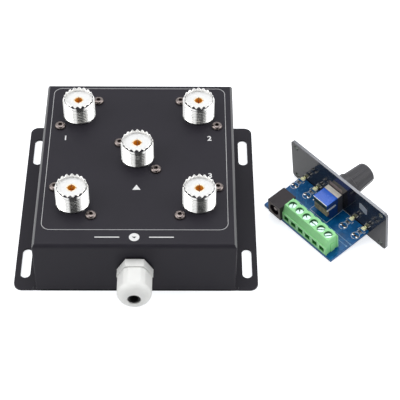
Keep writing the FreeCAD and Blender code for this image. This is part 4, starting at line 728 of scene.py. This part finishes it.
def route(start, end):
    """Corners of a trace from start to end: straight, at 45 degrees, straight."""
    start, end = Vector(start), Vector(end)
    way = end - start
    diagonal = min(abs(way.x), abs(way.y))
    turn = Vector((math.copysign(diagonal, way.x), math.copysign(diagonal, way.y)))
    bend = start + (way - turn) * TRACE_BEND
    return [start, bend, bend + turn, end]


traces = []
for way, end in zip(WAYS, TRACE_ENDS):
    path = route((way.x, TRACE_START), end)
    traces += [board_line(a, b, TRACE_WIDTH) for a, b in zip(path, path[1:])
               if (b - a).length > TRACE_SHORTEST]
    traces += [board_patch(ring_outline(TRACE_WIDTH / 2, *point, steps=16)) for point in path]
on_board("board_traces", traces, TRACE)

# two pale lines behind the terminal (first x, last x, y), each with a small patch at its end
PALE_LINES, PALE_WIDTH, PALE_PATCH = ((-18.5, 22.0, -12.5), (15.5, 21.2, -14.75)), 0.34, 0.9
pale = []
for first, last, y in PALE_LINES:
    pale.append(board_line((first, y), (last, y), PALE_WIDTH))
    pale.append(board_line((last - PALE_PATCH / 2, y), (last + PALE_PATCH / 2, y), PALE_PATCH))
on_board("board_pale_lines", pale, PALE_TRACE)

# lights and chip resistors: half their size in x and y, from height to height over the board
LED_BASE, LED_LENS = (1.05, 0.8, 0.0, 0.4), (0.85, 0.75, 0.4, 1.0)
RESISTOR_CHIP = (0.62, 0.62, 0.02, 0.5)
# their metal ends: inner and outer end in x, half their size in y, height
LED_END, RESISTOR_END = (1.02, 1.5, 0.8, 0.45), (0.6, 1.0, 0.625, 0.55)


def chip_bodies(y, half_x, half_y, low, high):
    return [block((x - half_x, y - half_y, BOARD_TOP + low),
                  (x + half_x, y + half_y, BOARD_TOP + high)) for x in LED_COLUMNS]


def chip_ends(y, inner, outer, half_y, high):
    return [block((x + side * inner, y - half_y, BOARD_TOP),
                  (x + side * outer, y + half_y, BOARD_TOP + high))
            for x in LED_COLUMNS for side in (-1, 1)]


on_board("led_bases", chip_bodies(LED_Y, *LED_BASE), CERAMIC, stands_for=["status_leds"],
         bevel=0.06, slot="led")
on_board("led_lenses", chip_bodies(LED_Y, *LED_LENS), LENS, bevel=0.16, slot="led")
on_board("led_ends", chip_ends(LED_Y, *LED_END), SOLDER, bevel=0.05)
on_board("resistor_chips", chip_bodies(RESISTOR_Y, *RESISTOR_CHIP), CHIP,
         stands_for=["led_resistors"], bevel=0.05, slot="resistor")
on_board("resistor_ends", chip_ends(RESISTOR_Y, *RESISTOR_END), SOLDER, bevel=0.06)

# solder round each pin under the board
LEG_BEHIND_SCREW, SWITCH_PIN_Y, JACK_PINS = 2.45, -4.57, (9.9, 6.0)
jack_x = (jack_low.x + jack_high.x) / 2
joint_spots = [(way.x, way.y + LEG_BEHIND_SCREW) for way in WAYS]
joint_spots += [(KNOB_X + step * PIN_PITCH, SWITCH_PIN_Y) for step in (-1, 0, 1)]
joint_spots += [(KNOB_X + step * PIN_PITCH / 2, SWITCH_PIN_Y - PIN_PITCH) for step in (-1, 1)]
joint_spots += [(jack_x, jack_low.y + inwards) for inwards in JACK_PINS]
cone = lathe([(0.49, -0.36), (0.62, -0.2), (0.95, 0.0), (0.49, 0.0)], 20)
on_board("board_solder", [moved(cone, (x, y, BOARD_BOTTOM)) for x, y in joint_spots], SOLDER,
         smooth=50)


# ---- rotary switch: cover, body, wafer, plates and straps about the case ----------------------

case_low, case_high = local_box("switch_case")
LEFT, REAR, FOOT = case_low
RIGHT, FRONT, TOP = case_high
COVER_LOW = TOP - 3.2                      # the blue cover's lower edge
BODY_REAR = REAR + 1.7


def layer(name, at_left, at_right, rear, front, low, high, finish, **more):
    """A block of the switch, as wide as its case less an inset at each side."""
    on_board(name, [block((LEFT + at_left, rear, low), (RIGHT - at_right, front, high))], finish,
             **more)


layer("switch_cover", 0.0, 0.0, REAR, FRONT, COVER_LOW, TOP, BLUE, stands_for=["switch_case"],
      bevel=0.2, slot="switch_blue")
# the body under the blue cover is the darker blue: painted shade
layer("switch_body", 0.2, 0.2, BODY_REAR, FRONT, FOOT, COVER_LOW, SHADED_BLUE, bevel=0.12,
      slot="switch_blue")
layer("switch_wafer", 0.1, 0.7, REAR + 0.25, BODY_REAR, FOOT + 2.4, COVER_LOW, WAFER, bevel=0.1)
layer("switch_back_plate", 0.15, 0.1, REAR - 0.12, REAR, COVER_LOW - 0.5, TOP - 0.35, BACK_PLATE,
      bevel=0.05)
layer("switch_back_lip", 0.1, 0.1, REAR - 0.28, REAR + 0.02, TOP - 0.42, TOP + 0.03, BRIGHT,
      bevel=0.08)

# bands of painted shade on the two sides of the blue cover
BAND_OUT, BAND_REAR, BAND_LOW, BAND_HIGH = 0.06, REAR + 0.1, COVER_LOW + 0.05, TOP - 0.45
bands = [block((inner, BAND_REAR, BAND_LOW), (outer, FRONT, BAND_HIGH))
         for inner, outer in ((LEFT, LEFT - BAND_OUT), (RIGHT, RIGHT + BAND_OUT))]
on_board("switch_side_bands", bands, SHADED_BLUE)

STRAP_LOW, STRAP_HIGH, STRAP_REAR, STRAP_FRONT = TOP - 4.15, TOP - 3.65, REAR - 0.25, FRONT - 1.6
straps = [block((inner, STRAP_REAR, STRAP_LOW), (outer, STRAP_FRONT, STRAP_HIGH))
          for inner, outer in ((LEFT - 0.1, LEFT - 0.5), (RIGHT - 0.3, RIGHT + 0.4))]
on_board("switch_straps", straps, BRIGHT, bevel=0.08)


# ---- screw terminal: ribs at its end, steps on its top ----------------------------------------

terminal_low, terminal_high = local_box("terminal_housing")
TERMINAL_PITCH, END_WALL, RIB_OUT = 5.08, 0.25, 0.35
TERMINAL_END = WAYS[-1].x + TERMINAL_PITCH / 2 + END_WALL
LEDGE = BOARD_TOP + 5.8
STEP_FOOT = LEDGE + 2.8
end_ribs = [block((TERMINAL_END, rear, BOARD_TOP), (TERMINAL_END + RIB_OUT, front, high))
            for rear, front, high in (
                (terminal_low.y + 0.05, terminal_low.y + 0.75, LEDGE),
                (terminal_high.y - 1.25, terminal_high.y - 0.05, STEP_FOOT))]
steps = [block((way.x - 1.6, terminal_high.y - 0.75, STEP_FOOT),
               (way.x + 1.5, terminal_high.y - 0.3, terminal_high.z)) for way in WAYS]
on_board("terminal_ribs", end_ribs + steps, GREEN, bevel=0.1, slot="terminal_green")


# ---- panel: dial round the knob, lights, plated holes, a pale patch, a painted reflection -----

POINTER_ANGLE, POSITIONS, DIAL_SWEEP = -8.0, 5, 180
TICK_INNER, TICK_OUTER, TICK_WIDTH, NUMERAL_RADIUS, DIAL_NUMERAL = 7.7, 8.9, 0.35, 10.3, 2.2
turn_sign = 1 if Vector(joints["selector_turn"]["axis"]).dot(out) > 0 else -1
dial = []
for position in range(POSITIONS):
    # the pointer's angle is read from behind the panel; a turn about the outward axis lowers it
    angle = math.radians(POINTER_ANGLE - turn_sign * DIAL_SWEEP * position / (POSITIONS - 1))
    across, upwards = -math.cos(angle), math.sin(angle)
    dial.append(stroke((across * TICK_INNER, upwards * TICK_INNER),
                       (across * TICK_OUTER, upwards * TICK_OUTER), TICK_WIDTH, 0.0, ON_PRINT))
    dial.append(numeral(str(position), DIAL_NUMERAL, across * NUMERAL_RADIUS,
                        upwards * NUMERAL_RADIUS, 0.0, ON_PRINT))
piece("panel_dial", dial, PRINT, matrix=facing_front(KNOB_X, PANEL_THICKNESS, KNOB_Z))

WINDOW_RADIUS, WINDOW_Z = 0.78, BOARD_TOP + 0.5
light = lathe([(0, 0.0), (WINDOW_RADIUS, 0.0), (WINDOW_RADIUS, 1.3), (0.5, 1.45), (0, 1.5)], 24)
# the panel's light windows share the lenses' painted glow
for index, x in enumerate(LED_COLUMNS, start=1):
    piece("panel_light_%d" % index, [light], LENS, matrix=facing_front(x, 0.0, WINDOW_Z),
          smooth=50, slot="led")

HOLE_RADIUS, PLATING, PLATING_OUT = 1.6, 0.12, 0.01
plating = lathe([(HOLE_RADIUS - PLATING, -PLATING_OUT), (HOLE_RADIUS, -PLATING_OUT),
                 (HOLE_RADIUS, PANEL_THICKNESS + PLATING_OUT),
                 (HOLE_RADIUS - PLATING, PANEL_THICKNESS + PLATING_OUT)], 32)
hole_spots = [TO_CONTROLLER @ (WORLD @ hole) for hole in holes]
piece("panel_hole_plating", [moved(plating, (-spot.x, spot.z, 0)) for spot in hole_spots],
      BACK_PLATE, matrix=facing_front(0, 0, 0), smooth=40)

# on the rear face: a pale lilac patch, and above the switch a dull brownish painted reflection of it
PATCH = ((15.2, 20.8), (15.2, 17.2), (19.5, 15.6), (20.5, 16.3), (20.5, 20.2), (16.3, 21.5))
REFLECTION_OUTLINE = ((LEFT + 0.4, TOP + 0.2), (RIGHT - 0.2, TOP + 0.2), (RIGHT - 0.2, TOP + 3.0),
        (LEFT + 0.4, TOP + 3.0))
for name, outline, finish in (("panel_patch", PATCH, LILAC), ("panel_land", REFLECTION_OUTLINE, SWITCH_REFLECTION)):
    piece(name, [sheet([outline], 0.0, ON_PRINT)], finish, matrix=CONTROLLER @ TO_REAR)


# ---- knob: ribs along the grip, light line in the pointer's groove ----------------------------

GRIP_LENGTH, GRIP_BASE, GRIP_END = 12.1, 6.05, 5.25
RIBS, RIB_WIDTH, RIB_SINK, RIB_HEIGHT = 16, 1.0, 0.15, 0.14
RIB_FOOT, RIB_HEAD = 0.8, 1.0              # mm that a rib keeps from the grip's ends
POINTER_WIDTH, POINTER_SINK, POINTER_DEPTH, POINTER_FOOT = 0.66, 0.04, 0.34, 0.5
BAR_TAPER = 0.7                            # a bar's outer width over its inner width
knob_end = local_box("selector_knob")[1].y
grip_foot = knob_end - GRIP_LENGTH
KNOB = facing_front(KNOB_X, 0, KNOB_Z) @ Matrix.Rotation(math.radians(180 - POINTER_ANGLE), 4, "Z")


def grip_bar(width, inner, outer, low, high, turn=0.0):
    """A bar along the tapered grip, from inner to outer mm beyond its surface."""
    vertices = []
    for z in (low, high):
        surface = GRIP_BASE + (GRIP_END - GRIP_BASE) * (z - grip_foot) / GRIP_LENGTH
        for y in (-width / 2, width / 2):
            vertices += [(surface + inner, y, z), (surface + outer, y * BAR_TAPER, z)]
    spin = Matrix.Rotation(math.radians(turn), 4, "Z")
    return [spin @ Vector(v) for v in vertices], BOX_FACES


knob_ribs = [grip_bar(RIB_WIDTH, -RIB_SINK, RIB_HEIGHT, grip_foot + RIB_FOOT, knob_end - RIB_HEAD,
                      360 * (k + 0.5) / RIBS) for k in range(RIBS)]
piece("knob_ribs", knob_ribs, KNOB_BLACK, body="selector", matrix=KNOB, slot="knob", bevel=0.08)
pointer = grip_bar(POINTER_WIDTH, -POINTER_DEPTH, -POINTER_SINK, grip_foot + POINTER_FOOT, knob_end)
piece("knob_pointer", [pointer], PRINT, body="selector", matrix=KNOB)


# ---- floor, room, lamps and camera; sizes in metres -------------------------------------------

FLOOR_HALF, FLOOR_DROP = 3, 0.0002
FLOOR_COLOR, FLOOR_GLOW_COLOR = (0.8, 0.8, 0.8, 1), (0.95, 0.97, 1.0, 1)
FLOOR_GLOW, FLOOR_GLOW_MIRRORED = 0.75, 0.5
ROOM_COLOR, ROOM_LIGHT = (0.97, 0.985, 1.0, 1), 0.5
STRIP_X, STRIP_HALF, STRIP_EDGE, STRIP_DARKNESS = 0.13, 0.36, 0.09, 0.95
STRIP_Y, STRIP_Z = (-0.08, 0.12), (0.02, 0.2)     # where the strip fades out and in


def ray_kinds(tree):
    """1 for rays from the camera, in mirrors and through glass, else 0; and 1 in mirrors alone."""
    path = tree.nodes.new("ShaderNodeLightPath")
    mirrored = path.outputs["Is Glossy Ray"]
    direct = calculate(tree, "MAXIMUM", path.outputs["Is Camera Ray"],
                       path.outputs["Is Transmission Ray"])
    return calculate(tree, "MAXIMUM", direct, mirrored), mirrored


def white_floor():
    """Takes the object's shadow; seen directly it is lifted to white, in mirrors less so."""
    material = bpy.data.materials.new("floor_white")
    material.use_nodes = True
    tree = material.node_tree
    surface = tree.nodes["Principled BSDF"]
    surface.inputs["Base Color"].default_value = FLOOR_COLOR
    surface.inputs["Roughness"].default_value = 0.9
    glow = tree.nodes.new("ShaderNodeEmission")
    glow.inputs["Color"].default_value = FLOOR_GLOW_COLOR
    seen, mirrored = ray_kinds(tree)
    less = calculate(tree, "MULTIPLY", mirrored, FLOOR_GLOW - FLOOR_GLOW_MIRRORED)
    strength = calculate(tree, "SUBTRACT", calculate(tree, "MULTIPLY", seen, FLOOR_GLOW), less)
    tree.links.new(strength, glow.inputs["Strength"])
    both = tree.nodes.new("ShaderNodeAddShader")
    tree.links.new(surface.outputs["BSDF"], both.inputs[0])
    tree.links.new(glow.outputs["Emission"], both.inputs[1])
    tree.links.new(both.outputs["Shader"], tree.nodes["Material Output"].inputs["Surface"])
    return material


def studio_world():
    """A white room, at a lower level where it lights things. Mirrors also see a dark strip in it,
    on the camera's side from near the horizon to overhead, which the sockets' threads show."""
    world = bpy.data.worlds.new("studio")
    scene.world = world
    world.use_nodes = True
    tree = world.node_tree
    background = tree.nodes["Background"]
    background.inputs["Color"].default_value = ROOM_COLOR
    coordinates = tree.nodes.new("ShaderNodeTexCoord")
    direction = tree.nodes.new("ShaderNodeSeparateXYZ")
    tree.links.new(coordinates.outputs["Generated"], direction.inputs["Vector"])

    def step(value, start, end, first, last):
        """A smooth step from one level to another."""
        node = tree.nodes.new("ShaderNodeMapRange")
        node.interpolation_type = "SMOOTHSTEP"
        for name, level in (("From Min", start), ("From Max", end), ("To Min", first),
                            ("To Max", last)):
            node.inputs[name].default_value = level
        tree.links.new(value, node.inputs["Value"])
        return node.outputs["Result"]

    from_middle = calculate(tree, "SUBTRACT", direction.outputs["X"], STRIP_X)
    off_middle = calculate(tree, "ABSOLUTE", from_middle)
    strip = calculate(tree, "MULTIPLY",
                      step(off_middle, STRIP_HALF - STRIP_EDGE, STRIP_HALF + STRIP_EDGE, 1.0, 0.0),
                      step(direction.outputs["Y"], *STRIP_Y, 1.0, 0.0))
    strip = calculate(tree, "MULTIPLY", strip, step(direction.outputs["Z"], *STRIP_Z, 0.0, 1.0))
    seen, mirrored = ray_kinds(tree)
    darkness = calculate(tree, "MULTIPLY", calculate(tree, "MULTIPLY", strip, mirrored),
                         STRIP_DARKNESS)
    lit = calculate(tree, "ADD", ROOM_LIGHT, calculate(tree, "MULTIPLY", seen, 1 - ROOM_LIGHT))
    tree.links.new(calculate(tree, "SUBTRACT", lit, darkness), background.inputs["Strength"])


floor_mesh = bpy.data.meshes.new("floor")
floor_mesh.from_pydata([(x * FLOOR_HALF, y * FLOOR_HALF, 0)
                        for x, y in ((-1, -1), (1, -1), (1, 1), (-1, 1))], [], [(0, 1, 2, 3)])
floor_mesh.materials.append(white_floor())
floor = bpy.data.objects.new("floor", floor_mesh)
floor.location.z = -FLOOR_DROP
scene.collection.objects.link(floor)

studio_world()

# soft square lamps: place, size, watts
LAMP_TARGET = Vector((0.02, 0.0, 0.02))
LAMPS = {"left_box": ((-0.80, -0.05, 0.60), 0.7, 3.4), "right_box": ((0.85, 0.05, 0.60), 0.7, 3.0),
         "top_box": ((0.0, 0.30, 0.95), 0.6, 2.8)}
for name, (place, size, watts) in LAMPS.items():
    lamp = bpy.data.lights.new(name, "AREA")
    lamp.shape = "SQUARE"
    lamp.size = size
    lamp.energy = watts
    box = bpy.data.objects.new(name, lamp)
    box.location = place
    box.rotation_euler = (LAMP_TARGET - Vector(place)).to_track_quat("-Z", "Y").to_euler()
    scene.collection.objects.link(box)

# the camera that the part was measured with
CAMERA_PLACE = Vector((0.023255, -0.464102, 0.497675))
CAMERA_PITCH, CAMERA_YAW, CAMERA_ROLL = (math.radians(a) for a in (46.744, 0.933, 0.827))
FOCAL_PIXELS, IMAGE_PIXELS, SENSOR = 1345.98, 400, 36.0
ahead = Vector((math.sin(CAMERA_YAW) * math.cos(CAMERA_PITCH),
                math.cos(CAMERA_YAW) * math.cos(CAMERA_PITCH), -math.sin(CAMERA_PITCH)))
level_side = Vector((math.cos(CAMERA_YAW), -math.sin(CAMERA_YAW), 0))
above_it = level_side.cross(ahead)
side = math.cos(CAMERA_ROLL) * level_side + math.sin(CAMERA_ROLL) * above_it
above_it = math.cos(CAMERA_ROLL) * above_it - math.sin(CAMERA_ROLL) * level_side
lens = bpy.data.cameras.new("camera")
lens.lens = FOCAL_PIXELS / IMAGE_PIXELS * SENSOR
lens.sensor_width = SENSOR
lens.clip_start, lens.clip_end = 0.01, 10
camera = bpy.data.objects.new("camera", lens)
camera_axes = Matrix((side, above_it, -ahead)).transposed().to_4x4()
camera.matrix_world = Matrix.Translation(CAMERA_PLACE) @ camera_axes
scene.collection.objects.link(camera)
scene.camera = camera

scene.view_settings.view_transform = "Standard"
